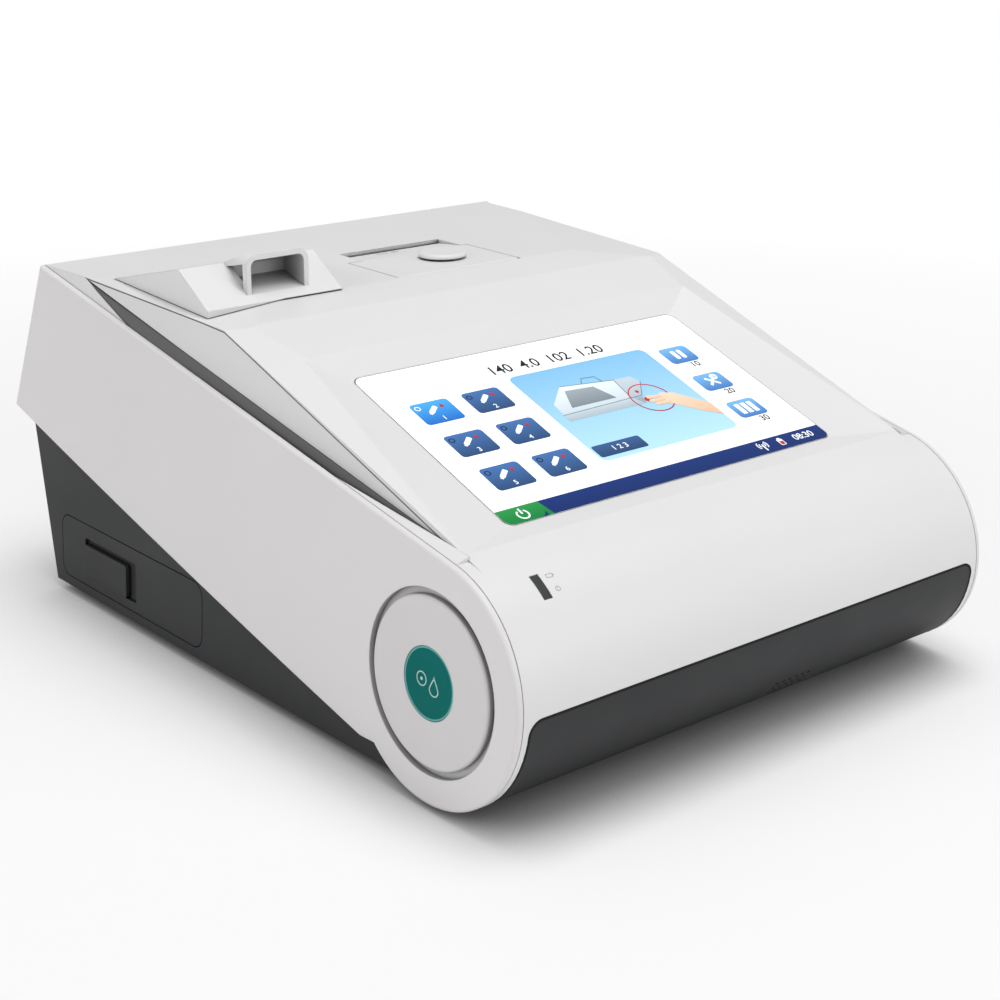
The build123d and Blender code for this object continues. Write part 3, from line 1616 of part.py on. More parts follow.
with BuildPart() as battery_tray:
    box_between(
        (-body_width, battery_tray_y[0], battery_tray_z[0]),
        (battery_tray_x, battery_tray_y[1], battery_tray_z[1]),
    )
    box_between(
        (-body_width, battery_tray_y[0] + battery_tray_wall, battery_tray_z[0] + battery_tray_wall),
        (battery_tray_x - battery_tray_wall, battery_tray_y[1] - battery_tray_wall, battery_tray_z[1]),
        mode=Mode.SUBTRACT,
    )
    box_between(
        (battery_tray_x - battery_tray_wall, middle(battery_tray_y) - contact_width / 2,
         battery_tray_z[0] + 2 * battery_tray_wall),
        (battery_tray_x, middle(battery_tray_y) + contact_width / 2, battery_tray_z[1]),
        mode=Mode.SUBTRACT,
    )
    split(bisect_by=side_plane(LEFT, base_inset + drawer_plate), keep=Keep.BOTTOM)
battery_tray.part.label = "battery_tray"
export_step(battery_tray.part, "parts/battery_tray.step")

battery_front_x = -(half_width - base_inset - drawer_plate - latch_stem)
battery_pack_x = (battery_front_x, battery_tray_x - battery_tray_wall)
with BuildPart() as battery_pack:
    box_between(
        (
            battery_pack_x[0] + battery_gap,
            battery_tray_y[0] + battery_tray_wall + battery_gap,
            battery_tray_z[0] + battery_tray_wall,
        ),
        (
            battery_pack_x[1] - battery_gap,
            battery_tray_y[1] - battery_tray_wall - battery_gap,
            battery_tray_z[0] + battery_tray_wall + battery_pack_height,
        ),
    )
    fillet(battery_pack.edges().filter_by(Axis.Y), edge_softening)
battery_pack.part.label = "battery_pack"
export_step(battery_pack.part, "parts/battery_pack.step")

# Cage on the tray's floor that guides the drawer, with its contacts
cage_x = (cage_front_x, battery_tray_x + 2 * cage_gap + cage_wall + contact_depth)
cage_y = widened(battery_tray_y, cage_gap + cage_wall)
cage_floor = base_bottom + base_wall
cage_top = battery_tray_z[1] + cage_gap + cage_wall
with BuildPart() as battery_cage:
    box_between((cage_x[0], cage_y[0], cage_floor), (cage_x[1], cage_y[1], cage_top))
    box_between(
        (cage_x[0], cage_y[0] + cage_wall, cage_floor),
        (cage_x[1] - cage_wall, cage_y[1] - cage_wall, cage_top - cage_wall),
        mode=Mode.SUBTRACT,
    )
    for rail_y in (cage_y[0] + cage_wall, cage_y[1] - cage_wall - rail_width):
        box_between(
            (cage_x[0], rail_y, cage_floor),
            (cage_x[1] - cage_wall, rail_y + rail_width, battery_tray_z[0] - cage_gap),
        )
battery_cage.part.label = "battery_cage"
export_step(battery_cage.part, "parts/battery_cage.step")

with BuildPart() as battery_contacts:
    box_between(
        (battery_tray_x + cage_gap, middle(battery_tray_y) - contact_width / 2 + gap,
         battery_tray_z[0] + 2 * battery_tray_wall + gap),
        (cage_x[1] - cage_wall, middle(battery_tray_y) + contact_width / 2 - gap, battery_tray_z[1] - gap),
    )
battery_contacts.part.label = "battery_contacts"
export_step(battery_contacts.part, "parts/battery_contacts.step")

# Connector plate inside the rear wall
plate_plane = rear_plane.offset(-base_wall)
plate_back_plane = plate_plane.offset(-io_plate_thickness)
connector_places = [(network_x, network_size), (usb_x, usb_size), (switch_x, switch_size)]
with BuildPart() as rear_plate:
    with BuildSketch(plate_plane):
        with Locations((-middle(io_x), io_height)):
            Rectangle(io_x[1] - io_x[0], io_size)
            with GridLocations(2 * io_screw_reach[0], 2 * io_screw_reach[1], 2, 2):
                Circle(small_screw_radius, mode=Mode.SUBTRACT)
        for x, size in connector_places:
            with Locations((-x, io_height)):
                Rectangle(size[0] + 2 * seam, size[1] + 2 * seam, mode=Mode.SUBTRACT)
        with Locations((-inlet_x, io_height)):
            Circle(inlet_radius + seam, mode=Mode.SUBTRACT)
    extrude(amount=-io_plate_thickness)
rear_plate.part.label = "rear_plate"
export_step(rear_plate.part, "parts/rear_plate.step")


def connector_body(x, size):
    """Connector with its face through the plate and a flange behind it"""
    with BuildPart() as body:
        with BuildSketch(plate_plane.offset(connector_proud)):
            with Locations((-x, io_height)):
                Rectangle(*size)
        extrude(amount=-(connector_proud + io_plate_thickness))
        with BuildSketch(plate_back_plane):
            with Locations((-x, io_height)):
                Rectangle(size[0] + 2 * connector_flange, size[1] + 2 * connector_flange)
        extrude(amount=-connector_depth)
    return body.part


connector_face = plate_plane.offset(connector_proud)
with BuildPart() as network_port:
    add(connector_body(network_x, network_size))
    with BuildSketch(connector_face):
        with Locations((-network_x, io_height + connector_flange / 2)):
            Rectangle(*network_socket_size)
        with Locations((-network_x, io_height - network_size[1] / 2 + 2 * connector_flange)):
            Rectangle(network_size[0] / 2, 2 * connector_flange)
    extrude(amount=-socket_depth, mode=Mode.SUBTRACT)
network_port.part.label = "network_port"
export_step(network_port.part, "parts/network_port.step")

with BuildPart() as usb_ports:
    add(connector_body(usb_x, usb_size))
    with BuildSketch(connector_face):
        with Locations((-usb_x, io_height + usb_slot_reach), (-usb_x, io_height - usb_slot_reach)):
            Rectangle(*usb_slot)
    extrude(amount=-socket_depth, mode=Mode.SUBTRACT)
    with BuildSketch(connector_face.offset(-connector_proud)):
        with Locations((-usb_x, io_height + usb_slot_reach), (-usb_x, io_height - usb_slot_reach)):
            Rectangle(*usb_tongue)
    extrude(amount=-socket_depth)
usb_ports.part.label = "usb_ports"
export_step(usb_ports.part, "parts/usb_ports.step")

with BuildPart() as power_inlet:
    with BuildSketch(connector_face):
        with Locations((-inlet_x, io_height)):
            Circle(inlet_radius)
    extrude(amount=-(connector_proud + io_plate_thickness))
    with BuildSketch(plate_back_plane):
        with Locations((-inlet_x, io_height)):
            Circle(inlet_radius + connector_flange)
    extrude(amount=-connector_depth)
    with BuildSketch(connector_face):
        with Locations((-inlet_x, io_height)):
            Circle(inlet_bore_radius)
            Circle(inlet_pin_radius, mode=Mode.SUBTRACT)
    extrude(amount=-socket_depth, mode=Mode.SUBTRACT)
power_inlet.part.label = "power_inlet"
export_step(power_inlet.part, "parts/power_inlet.step")

# Power switch: housing and rocker on a pin across it
rocker_space = (switch_size[0] - 2 * switch_wall, switch_size[1] - 2 * switch_wall)
rocker_width = rocker_space[0] - gap
rocker_centre = connector_face.offset(-rocker_pivot_depth).from_local_coords((-switch_x, io_height))
rocker_plane = Plane(origin=rocker_centre, x_dir=rear_plane.y_dir, z_dir=(-1, 0, 0))
with BuildPart() as power_switch_housing:
    add(connector_body(switch_x, switch_size))
    with BuildSketch(connector_face):
        with Locations((-switch_x, io_height)):
            Rectangle(*rocker_space)
    extrude(amount=-(socket_depth + connector_proud), mode=Mode.SUBTRACT)
    with BuildSketch(rocker_plane):
        Circle(rocker_pin_radius + running_gap)
    extrude(amount=rocker_space[0] / 2 + switch_wall / 2, both=True, mode=Mode.SUBTRACT)
power_switch_housing.part.label = "power_switch_housing"
export_step(power_switch_housing.part, "parts/power_switch_housing.step")

with BuildPart() as power_rocker:
    with BuildSketch(Plane(
        origin=rocker_centre, x_dir=rear_plane.y_dir.rotate(Axis.X, rocker_throw / 2), z_dir=(-1, 0, 0)
    )):
        with BuildLine():
            Polyline(
                (-rocker_half_length, rocker_pivot_depth),
                (0, rocker_pivot_depth - connector_flange),
                (rocker_half_length, rocker_pivot_depth),
                (rocker_half_length, rocker_pivot_depth / 2),
                (0, -2 * rocker_pin_radius),
                (-rocker_half_length, rocker_pivot_depth / 2),
                close=True,
            )
        make_face()
    extrude(amount=rocker_width / 2, both=True)
    with BuildSketch(rocker_plane):
        Circle(rocker_pin_radius)
    extrude(amount=rocker_space[0] / 2 + switch_wall / 2 - running_gap, both=True)
power_rocker.part.label = "power_rocker"
export_step(power_rocker.part, "parts/power_rocker.step")

# Cooling fan behind the grille
fan_plane = Plane(
    origin=plate_plane.from_local_coords((-fan_x, fan_height)), x_dir=(-1, 0, 0), z_dir=rear_plane.z_dir
)
with BuildPart() as fan_frame:
    with BuildSketch(fan_plane):
        RectangleRounded(fan_size, fan_size, fan_back)
        Circle(fan_bore_radius, mode=Mode.SUBTRACT)
    extrude(amount=-fan_depth)
    with BuildSketch(fan_plane.offset(-fan_depth)):
        Circle(fan_hub_radius)
        Rectangle(2 * fan_bore_radius + gap, fan_back)
        Rectangle(fan_back, 2 * fan_bore_radius + gap)
    extrude(amount=fan_back)
    with BuildSketch(fan_plane.offset(-fan_depth)):
        Circle(fan_stub_radius)
    extrude(amount=fan_depth - 2 * fan_back)
fan_frame.part.label = "fan_frame"
export_step(fan_frame.part, "parts/fan_frame.step")

fan_rotor_height = fan_depth - fan_back - 2 * gap
fan_blade_length = fan_bore_radius - gap - fan_hub_radius
with BuildPart(fan_plane.offset(-(fan_depth - fan_back - gap))) as fan_rotor:
    Cylinder(fan_hub_radius, fan_rotor_height, align=(Align.CENTER, Align.CENTER, Align.MIN))
    with Locations((0, 0, fan_rotor_height / 2)):
        with PolarLocations(fan_hub_radius - gap + fan_blade_length / 2, fan_blades):
            Box(
                fan_blade_length,
                fan_blade_thickness,
                fan_rotor_height - gap,
                rotation=(fan_blade_pitch, 0, 0),
            )
    Cylinder(
        fan_stub_radius + running_gap,
        fan_bearing_length,
        align=(Align.CENTER, Align.CENTER, Align.MIN),
        mode=Mode.SUBTRACT,
    )
fan_rotor.part.label = "fan_rotor"
export_step(fan_rotor.part, "parts/fan_rotor.step")

# Main board on its posts, and what stands on it
with BuildPart() as main_board:
    with BuildSketch(Plane.XY.offset(board_bottom)):
        with Locations((middle(board_x), middle(board_y))):
            Rectangle(board_x[1] - board_x[0], board_y[1] - board_y[0])
    extrude(amount=board_thickness)
main_board.part.label = "main_board"
export_step(main_board.part, "parts/main_board.step")

board_top = board_bottom + board_thickness
with BuildPart() as board_components:
    with BuildSketch(Plane.XY.offset(board_top)):
        with Locations((middle(board_x), middle(board_y))):
            with Locations(processor_place):
                Rectangle(processor_size, processor_size)
            with Locations(memory_place):
                with GridLocations(*memory_pitch, *memory_count):
                    Rectangle(*memory_size)
            with Locations(front_socket_place):
                Rectangle(*front_socket_size)
            with Locations(right_socket_place):
                Rectangle(*right_socket_size)
    extrude(amount=chip_height)
    with BuildSketch(Plane.XY.offset(board_top)):
        with Locations((middle(board_x), middle(board_y))):
            with Locations(capacitor_place):
                with GridLocations(capacitor_pitch, capacitor_pitch, *capacitor_count):
                    Circle(capacitor_radius)
    extrude(amount=capacitor_height)
    with BuildSketch(Plane.XY.offset(board_top + chip_height)):
        with Locations((middle(board_x), middle(board_y))):
            with Locations(processor_place):
                with GridLocations(0, fin_pitch, 1, fin_count):
                    Rectangle(processor_size, fin_thickness)
    extrude(amount=capacitor_height - chip_height)
board_components.part.label = "board_components"
export_step(board_components.part, "parts/board_components.step")

# Power module beside the main board
module_floor = base_bottom + base_wall
with BuildPart() as power_module:
    box_between(
        (module_x[0], module_y[0], module_floor),
        (module_x[1], module_y[1], module_floor + module_height),
    )
    with BuildSketch(Plane.XY.offset(module_floor + module_height)):
        with Locations((middle(module_x), middle(module_y))):
            with GridLocations(0, grille_pitch, 1, grille_count):
                SlotOverall(module_x[1] - module_x[0] - grille_pitch, grille_slot)
    extrude(amount=-wall, mode=Mode.SUBTRACT)
power_module.part.label = "power_module"
export_step(power_module.part, "parts/power_module.step")

# Cartridge port: dark rim in the side panel, with a sprung flap on a pin
rim_y = widened(port_y, -seam)
rim_z = widened(port_z, -seam)
mouth_y = widened(port_y, -port_rim)
mouth_z = widened(port_z, -port_rim)
with BuildSketch(Plane.YZ) as rim_outline:
    side_view_rectangle(rim_y, rim_z, port_corner - seam)

with BuildSketch(Plane.YZ) as mouth_outline:
    side_view_rectangle(mouth_y, mouth_z)

flap_pin_z = mouth_z[1] - flap_thickness / 2 - flap_side_gap
with BuildPart() as port_bezel:
    extrude(rim_outline.sketch, amount=body_width)
    split(bisect_by=side_plane(RIGHT, -port_proud), keep=Keep.BOTTOM)
    split(bisect_by=Plane.YZ.offset(chassis_x[1] + gap), keep=Keep.TOP)
    extrude(mouth_outline.sketch, amount=body_width, mode=Mode.SUBTRACT)
    with BuildSketch(Plane.XZ.offset(-middle(port_y))):
        with Locations((flap_x, flap_pin_z)):
            Circle(flap_pin_radius + running_gap)
    extrude(
        amount=(mouth_y[1] - mouth_y[0]) / 2 + port_rim / 2, both=True, mode=Mode.SUBTRACT
    )
port_bezel.part.label = "port_bezel"
export_step(port_bezel.part, "parts/port_bezel.step")

with BuildPart() as cartridge_flap:
    box_between(
        (flap_x - flap_thickness / 2, mouth_y[0] + flap_side_gap, mouth_z[0] + flap_side_gap),
        (flap_x + flap_thickness / 2, mouth_y[1] - flap_side_gap, flap_pin_z),
    )
    with BuildSketch(Plane.XZ.offset(-middle(port_y))):
        with Locations((flap_x, flap_pin_z)):
            Circle(flap_pin_radius)
    extrude(amount=(mouth_y[1] - mouth_y[0]) / 2 + port_rim / 2 - running_gap, both=True)
cartridge_flap.part.label = "cartridge_flap"
export_step(cartridge_flap.part, "parts/cartridge_flap.step")

# Cartridge chassis behind the port, with the sensor head over its channel
chassis_y = widened(port_y, chassis_margin)
channel_y = widened(mouth_y, -seam)
head_range_y = (middle(port_y) - (head_x[1] - head_x[0]) / 2, middle(port_y) + (head_x[1] - head_x[0]) / 2)
with BuildPart() as cartridge_chassis:
    box_between((chassis_x[0], chassis_y[0], chassis_z[0]), (chassis_x[1], chassis_y[1], chassis_z[1]))
    box_between(
        (chassis_x[0], chassis_y[0], module_floor),
        (chassis_x[0] + leg_thickness, chassis_y[1], chassis_z[0]),
    )
    box_between(
        (middle(chassis_x), chassis_y[0] + middle_leg_setback, module_floor),
        (middle(chassis_x) + leg_thickness, chassis_y[1] - middle_leg_setback, chassis_z[0]),
    )
    box_between(
        (chassis_x[0] + channel_wall, channel_y[0], channel_z[0]),
        (chassis_x[1], channel_y[1], channel_z[1]),
        mode=Mode.SUBTRACT,
    )
    box_between(
        (head_x[0], head_range_y[0], channel_z[1]),
        (head_x[1], head_range_y[1], chassis_z[1]),
        mode=Mode.SUBTRACT,
    )
cartridge_chassis.part.label = "cartridge_chassis"
export_step(cartridge_chassis.part, "parts/cartridge_chassis.step")

with BuildPart() as sensor_head:
    box_between(
        (head_x[0] + head_clearance, head_range_y[0] + head_clearance, channel_z[1] + head_clearance),
        (head_x[1] - head_clearance, head_range_y[1] - head_clearance, channel_z[1] + head_height),
    )
    with BuildSketch(Plane.XY.offset(channel_z[1] + head_height)):
        with Locations((middle(head_x), middle(head_range_y))):
            with GridLocations(sensor_pin_pitch, sensor_pin_pitch, *sensor_pin_count):
                Circle(small_screw_radius)
    extrude(amount=head_clearance)
sensor_head.part.label = "sensor_head"
export_step(sensor_head.part, "parts/sensor_head.step")

# Roller pump behind the left disc, on a bracket from the base
pump_bracket_x = (pump_x[1], pump_x[1] + pump_plate)
with BuildPart() as pump_housing:
    with BuildSketch(Plane.YZ.offset(pump_x[0])):
        with Locations((pump_y, pump_z)):
            Circle(pump_outer_radius)
    extrude(amount=pump_x[1] - pump_x[0])
    with BuildSketch(Plane.YZ.offset(pump_x[0])):
        with Locations((pump_y, pump_z)):
            Circle(pump_inner_radius)
    extrude(amount=pump_x[1] - pump_x[0] - pump_plate, mode=Mode.SUBTRACT)
    box_between(
        (pump_bracket_x[0], pump_y - pump_plate_half_width, module_floor),
        (pump_bracket_x[1], pump_y + pump_plate_half_width, pump_z + pump_plate_half_width),
    )
    box_between(
        (pump_bracket_x[0], pump_y - pump_plate_half_width, module_floor),
        (
            pump_bracket_x[1] + pump_foot_length,
            pump_y + pump_plate_half_width,
            module_floor + pump_plate,
        ),
    )
    with BuildSketch(Plane.YZ.offset(pump_x[0])):
        with Locations((pump_y, pump_z)):
            Circle(pump_shaft_radius + running_gap)
    extrude(amount=pump_bracket_x[1] - pump_x[0], mode=Mode.SUBTRACT)
pump_housing.part.label = "pump_housing"
export_step(pump_housing.part, "parts/pump_housing.step")

rotor_x = (pump_x[0] + running_gap, pump_x[1] - pump_plate - gap)
with BuildPart() as pump_rotor:
    for disc_x in (rotor_x[0], rotor_x[1] - rotor_disc_thickness):
        with BuildSketch(Plane.YZ.offset(disc_x)):
            with Locations((pump_y, pump_z)):
                Circle(rotor_disc_radius)
        extrude(amount=rotor_disc_thickness)
    with BuildSketch(Plane.YZ.offset(rotor_x[0])):
        with Locations((pump_y, pump_z)):
            with PolarLocations(roller_orbit, roller_count):
                Circle(roller_radius)
    extrude(amount=rotor_x[1] - rotor_x[0])
    with BuildSketch(Plane.YZ.offset(rotor_x[0])):
        with Locations((pump_y, pump_z)):
            Circle(pump_shaft_radius)
    extrude(amount=pump_bracket_x[1] + motor_bore_depth - gap - rotor_x[0])
pump_rotor.part.label = "pump_rotor"
export_step(pump_rotor.part, "parts/pump_rotor.step")

with BuildPart() as pump_tube:
    with BuildSketch(Plane.YZ.offset(middle(rotor_x) - tube_width / 2)):
        with Locations((pump_y, pump_z)):
            Circle(pump_inner_radius)
            Circle(roller_orbit + roller_radius + gap, mode=Mode.SUBTRACT)
            with Locations((0, -pump_inner_radius)):
                Rectangle(pump_inner_radius, pump_inner_radius, mode=Mode.SUBTRACT)
    extrude(amount=tube_width)
pump_tube.part.label = "pump_tube"
export_step(pump_tube.part, "parts/pump_tube.step")

with BuildPart() as pump_motor:
    with BuildSketch(Plane.YZ.offset(pump_bracket_x[1])):
        with Locations((pump_y, pump_z)):
            Circle(motor_radius)
    extrude(amount=motor_length)
    fillet(pump_motor.edges().group_by(Axis.X)[-1], edge_softening)
    with BuildSketch(Plane.YZ.offset(pump_bracket_x[1])):
        with Locations((pump_y, pump_z)):
            Circle(pump_shaft_radius + running_gap)
    extrude(amount=motor_bore_depth, mode=Mode.SUBTRACT)
pump_motor.part.label = "pump_motor"
export_step(pump_motor.part, "parts/pump_motor.step")

# Small screws for the screen bracket and the connector plate
with BuildPart() as small_screws:
    bracket_back = glass_plane.offset(-(pan_depth + lcd_thickness + gap + bracket_thickness))
    with BuildSketch(bracket_back):
        with GridLocations(*bracket_screw_spacing, 2, 2):
            Circle(small_head_radius)
    extrude(amount=-small_head_height)
    with BuildSketch(bracket_back):
        with GridLocations(*bracket_screw_spacing, 2, 2):
            Circle(small_screw_radius)
    extrude(amount=bracket_thickness + lcd_thickness - gap)
    with BuildSketch(rear_plane):
        with Locations((-middle(io_x), io_height)):
            with GridLocations(2 * io_screw_reach[0], 2 * io_screw_reach[1], 2, 2):
                Circle(small_head_radius)
    extrude(amount=small_head_height)
    with BuildSketch(rear_plane):
        with Locations((-middle(io_x), io_height)):
            with GridLocations(2 * io_screw_reach[0], 2 * io_screw_reach[1], 2, 2):
                Circle(small_screw_radius)
    extrude(amount=-(base_wall + 2 * io_plate_thickness))
small_screws.part.label = "small_screws"
export_step(small_screws.part, "parts/small_screws.step")
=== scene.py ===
import json
import math

import bmesh
import bpy
from mathutils import Matrix, Vector


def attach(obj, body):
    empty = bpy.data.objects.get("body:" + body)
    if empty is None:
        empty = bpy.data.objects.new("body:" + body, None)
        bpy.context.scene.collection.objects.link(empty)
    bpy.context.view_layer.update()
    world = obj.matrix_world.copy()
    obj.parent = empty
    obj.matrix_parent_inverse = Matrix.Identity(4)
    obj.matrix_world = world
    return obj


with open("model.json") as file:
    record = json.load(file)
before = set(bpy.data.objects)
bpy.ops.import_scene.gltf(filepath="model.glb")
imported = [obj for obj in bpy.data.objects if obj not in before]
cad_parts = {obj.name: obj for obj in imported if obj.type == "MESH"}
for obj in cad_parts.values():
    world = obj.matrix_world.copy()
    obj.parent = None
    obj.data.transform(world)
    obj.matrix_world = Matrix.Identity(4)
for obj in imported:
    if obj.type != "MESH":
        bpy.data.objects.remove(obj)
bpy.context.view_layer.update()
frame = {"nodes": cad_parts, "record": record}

bl_info = {
    "name": "Electrolyte analyzer looks",
    "version": (1, 0, 0),
    "blender": (4, 5, 0),
    "location": "View3D > Sidebar > Analyzer",
    "description": "Finishes, screen picture and printed marks for a benchtop electrolyte analyzer",
    "category": "Object",
}

MM = 0.001

# Places taken from the solids, in millimetres
GLASS_CENTRE = (0.0, -69.875, 102.171)
GLASS_TILT = math.radians(19.07)
GLASS_SIZE = (155.2, 92.0)
NOSE_AXIS = (-117.3, 44.0)
NOSE_RADIUS = 42.0
SIDE_TAPER = 0.028
SIDE_LEAN = 0.059
SIDE_HALF_WIDTH = 113.05
CREST = (7.2, 133.0)
PLATEAU_HALF_WIDTH = 105.8
PLATEAU_TAPER = 0.048
PLATEAU_LEAN = 0.0842
SLOT_FRONT_Y = 62.0
SLOT_REAR_Y = 76.6
SLOT_DROP = 1.5
PAPER_MARK_PLACE = (8.0, 72.5, 134.38)
MARKS_X = -82.6
BADGE_PROUD = 0.3
# Outline of the painted shadow line round the front panel
PANEL_INSET = 5.2
PANEL_CORNER = 4.7
PANEL_REACH = 72.0
# Lines along the roof's edge and above the side groove, where strips of painted shadow lie
EDGE_LINE = [(105.0, 135.3), (24.0, 132.6), (9.5, 131.8), (-117.0, 87.4)]
GROOVE_LINE = [(104.0, 134.7), (-111.0, 87.1)]
PAPER_ROLL_AXIS = (0, 0.050, 0.101)

# Layers of the screen's page and the printed marks, in millimetres
FILM = 0.06
INK = 0.05
FINE = 0.04
FIRST_LAYER = 0.12
SECOND_LAYER = FIRST_LAYER + FILM
THIRD_LAYER = SECOND_LAYER + FILM
LINE_THICKNESS = 0.08

# Layout of the screen's page, from the middle of the glass, in millimetres
PAGE_MARGIN = 0.5
BAR_Y = -41.85
BAR_HEIGHT = 7.8
TILE_ROWS = (18.3, -2.1, -22.5)
TILE_COLUMNS = (-59.6, -36.8)
UNIT_AT = (9.0, 5.5)
BUTTON_AT = (-8.6, -22.4)
KEY_X = 58.4
KEY_ROWS = (19.6, -0.2, -19.3)
BAR_CORNER = 3.7
RADIO_X = 45.4
BATTERY_X = 54.6
POWER_X = -68.6

# Stage, in metres
CAMERA_PLACE = (-0.43489, -0.54446, 0.29342)
CAMERA_FORWARD = (0.5983, 0.7293, -0.3319)
CAMERA_RIGHT = (0.7731, -0.6343, 0.0)
CAMERA_ROLL = math.radians(-0.16)
SENSOR_WIDTH = 36.0
FOCAL_LENGTH = 66.96
FLOOR_SIZE = 6.0
SKY_STRENGTH = 0.40


class AnalyzerSettings(bpy.types.PropertyGroup):
    """Sizes and colours of the analyzer's finishes and screen"""

    shell_color: bpy.props.FloatVectorProperty(
        name="Shell colour", description="Moulded top shell", subtype="COLOR", size=3, min=0, max=1,
        default=(0.81, 0.808, 0.812))
    cover_color: bpy.props.FloatVectorProperty(
        name="Side cover colour", description="Side covers and round discs", subtype="COLOR", size=3,
        min=0, max=1, default=(0.80, 0.78, 0.785))
    base_color: bpy.props.FloatVectorProperty(
        name="Base colour", description="Dark base and front panel", subtype="COLOR", size=3, min=0, max=1,
        default=(0.030, 0.031, 0.033))
    # The dark grey of the groove strips is painted shade, standing in for the shade deep in the side grooves
    trim_color: bpy.props.FloatVectorProperty(
        name="Groove shade colour", description="Strips in the side grooves", subtype="COLOR", size=3, min=0, max=1,
        default=(0.135, 0.135, 0.138))
    badge_color: bpy.props.FloatVectorProperty(
        name="Badge colour", description="Round badge on the left disc", subtype="COLOR", size=3, min=0,
        max=1, default=(0.0, 0.155, 0.142))
    page_color: bpy.props.FloatVectorProperty(
        name="Page colour", description="Background of the screen's page", subtype="COLOR", size=3, min=0,
        max=1, default=(0.93, 0.94, 0.95))
    bar_color: bpy.props.FloatVectorProperty(
        name="Bar colour", description="Bar along the bottom of the page", subtype="COLOR", size=3, min=0,
        max=1, default=(0.004, 0.024, 0.14))
    tile_color: bpy.props.FloatVectorProperty(
        name="Tile colour", description="Sample tiles on the page", subtype="COLOR", size=3, min=0, max=1,
        default=(0.034, 0.10, 0.26))
    tile_width: bpy.props.FloatProperty(
        name="Tile width", description="Width of one sample tile", default=0.0165, unit="LENGTH")
    tile_height: bpy.props.FloatProperty(
        name="Tile height", description="Height of one sample tile", default=0.0128, unit="LENGTH")
    tile_corner: bpy.props.FloatProperty(
        name="Tile corner", description="Corner radius of one sample tile", default=0.0016, unit="LENGTH")
    line_width: bpy.props.FloatProperty(
        name="Painted shadow line width", description="Width of the shadow line along the roof's edges",
        default=0.0005, unit="LENGTH")


def settings():
    return bpy.context.scene.analyzer_settings


# Shape helpers. Each returns a small bmesh in its own flat coordinates, in millimetres.
def plate(width, height, thickness, corner=0.0, bottom_only=False):
    """Flat plate standing on z 0, with all its corners rounded or only the two at the bottom"""
    bm = bmesh.new()
    size = Matrix.Diagonal((width, height, thickness, 1))
    bmesh.ops.create_cube(bm, size=1.0, matrix=Matrix.Translation((0, 0, thickness / 2)) @ size)
    if corner:
        upright = [e for e in bm.edges if abs(e.verts[0].co.z - e.verts[1].co.z) > thickness / 2]
        if bottom_only:
            upright = [e for e in upright if e.verts[0].co.y < 0]
        bmesh.ops.bevel(bm, geom=upright, offset=corner, segments=6, profile=0.5, affect="EDGES", material=-1)
    return bm


def disc(radius, thickness, segments=48):
    """Round plate standing on z 0"""
    bm = bmesh.new()
    bmesh.ops.create_cone(
        bm, cap_ends=True, segments=segments, radius1=radius, radius2=radius, depth=thickness,
        matrix=Matrix.Translation((0, 0, thickness / 2)))
    return bm


def ring(outer, inner, thickness, start=0.0, sweep=360.0, steps=48):
    """Flat ring, or part of one, standing on z 0"""
    bm = bmesh.new()
    corners = [(inner, 0, 0), (outer, 0, 0), (outer, 0, thickness), (inner, 0, thickness)]
    verts = [bm.verts.new(c) for c in corners]
    face = bm.faces.new(verts)
    full = sweep >= 360.0
    turned = Matrix.Rotation(math.radians(start), 4, "Z")
    bmesh.ops.transform(bm, matrix=turned, verts=bm.verts[:])
    geom = face.edges[:] + verts if full else [face] + face.edges[:] + verts
    if full:
        bmesh.ops.delete(bm, geom=[face], context="FACES_ONLY")
    bmesh.ops.spin(
        bm, geom=geom, cent=(0, 0, 0), axis=(0, 0, 1), angle=math.radians(sweep), steps=steps, use_merge=full)
    bmesh.ops.remove_doubles(bm, verts=bm.verts[:], dist=1e-5)
    bmesh.ops.recalc_face_normals(bm, faces=bm.faces[:])
    return bm


def thickened(bm, thickness):
    """Gives flat faces on z 0 their thickness"""
    made = bmesh.ops.extrude_face_region(bm, geom=bm.faces[:])
    bmesh.ops.translate(
        bm, vec=(0, 0, thickness), verts=[v for v in made["geom"] if isinstance(v, bmesh.types.BMVert)])
    bmesh.ops.recalc_face_normals(bm, faces=bm.faces[:])
    return bm


def outline_plate(width, height, thickness, corner, line):
    """Rounded frame, open in the middle"""
    bm = bmesh.new()
    bmesh.ops.create_grid(bm, x_segments=1, y_segments=1, size=0.5)
    bmesh.ops.scale(bm, vec=(width, height, 1), verts=bm.verts[:])
    bmesh.ops.bevel(
        bm, geom=bm.verts[:], offset=corner, segments=5, profile=0.5, affect="VERTICES", material=-1)
    bmesh.ops.inset_region(bm, faces=bm.faces[:], thickness=line, use_boundary=True, use_even_offset=True)
    middle = [f for f in bm.faces if f.calc_center_median().length < 1e-4 and len(f.verts) > 4]
    bmesh.ops.delete(bm, geom=middle, context="FACES")
    return thickened(bm, thickness)


def drop_shape(height, thickness, line=0.0):
    """Drop, round below and pointed above, filled or as an outline"""
    radius = height * 0.34
    bm = bmesh.new()
    bmesh.ops.create_circle(bm, cap_ends=True, segments=36, radius=radius)
    for vert in bm.verts:
        if vert.co.y > 0:
            lift = vert.co.y / radius
            vert.co.x *= max(0.0, 1 - lift) ** 0.75
            vert.co.y = lift * (height - radius)
    if line:
        bmesh.ops.inset_region(bm, faces=bm.faces[:], thickness=line, use_boundary=True, use_even_offset=True)
        middle = [f for f in bm.faces if len(f.verts) > 4]
        bmesh.ops.delete(bm, geom=middle, context="FACES")
    return thickened(bm, thickness)


def bar(start, end, width, thickness, corner=0.0):
    """Straight bar between two flat points"""
    a = Vector(start)
    b = Vector(end)
    along = b - a
    bm = plate(along.length, width, thickness, corner)
    place = Matrix.Translation(((a.x + b.x) / 2, (a.y + b.y) / 2, 0)) @ Matrix.Rotation(
        math.atan2(along.y, along.x), 4, "Z")
    bmesh.ops.transform(bm, matrix=place, verts=bm.verts[:])
    return bm


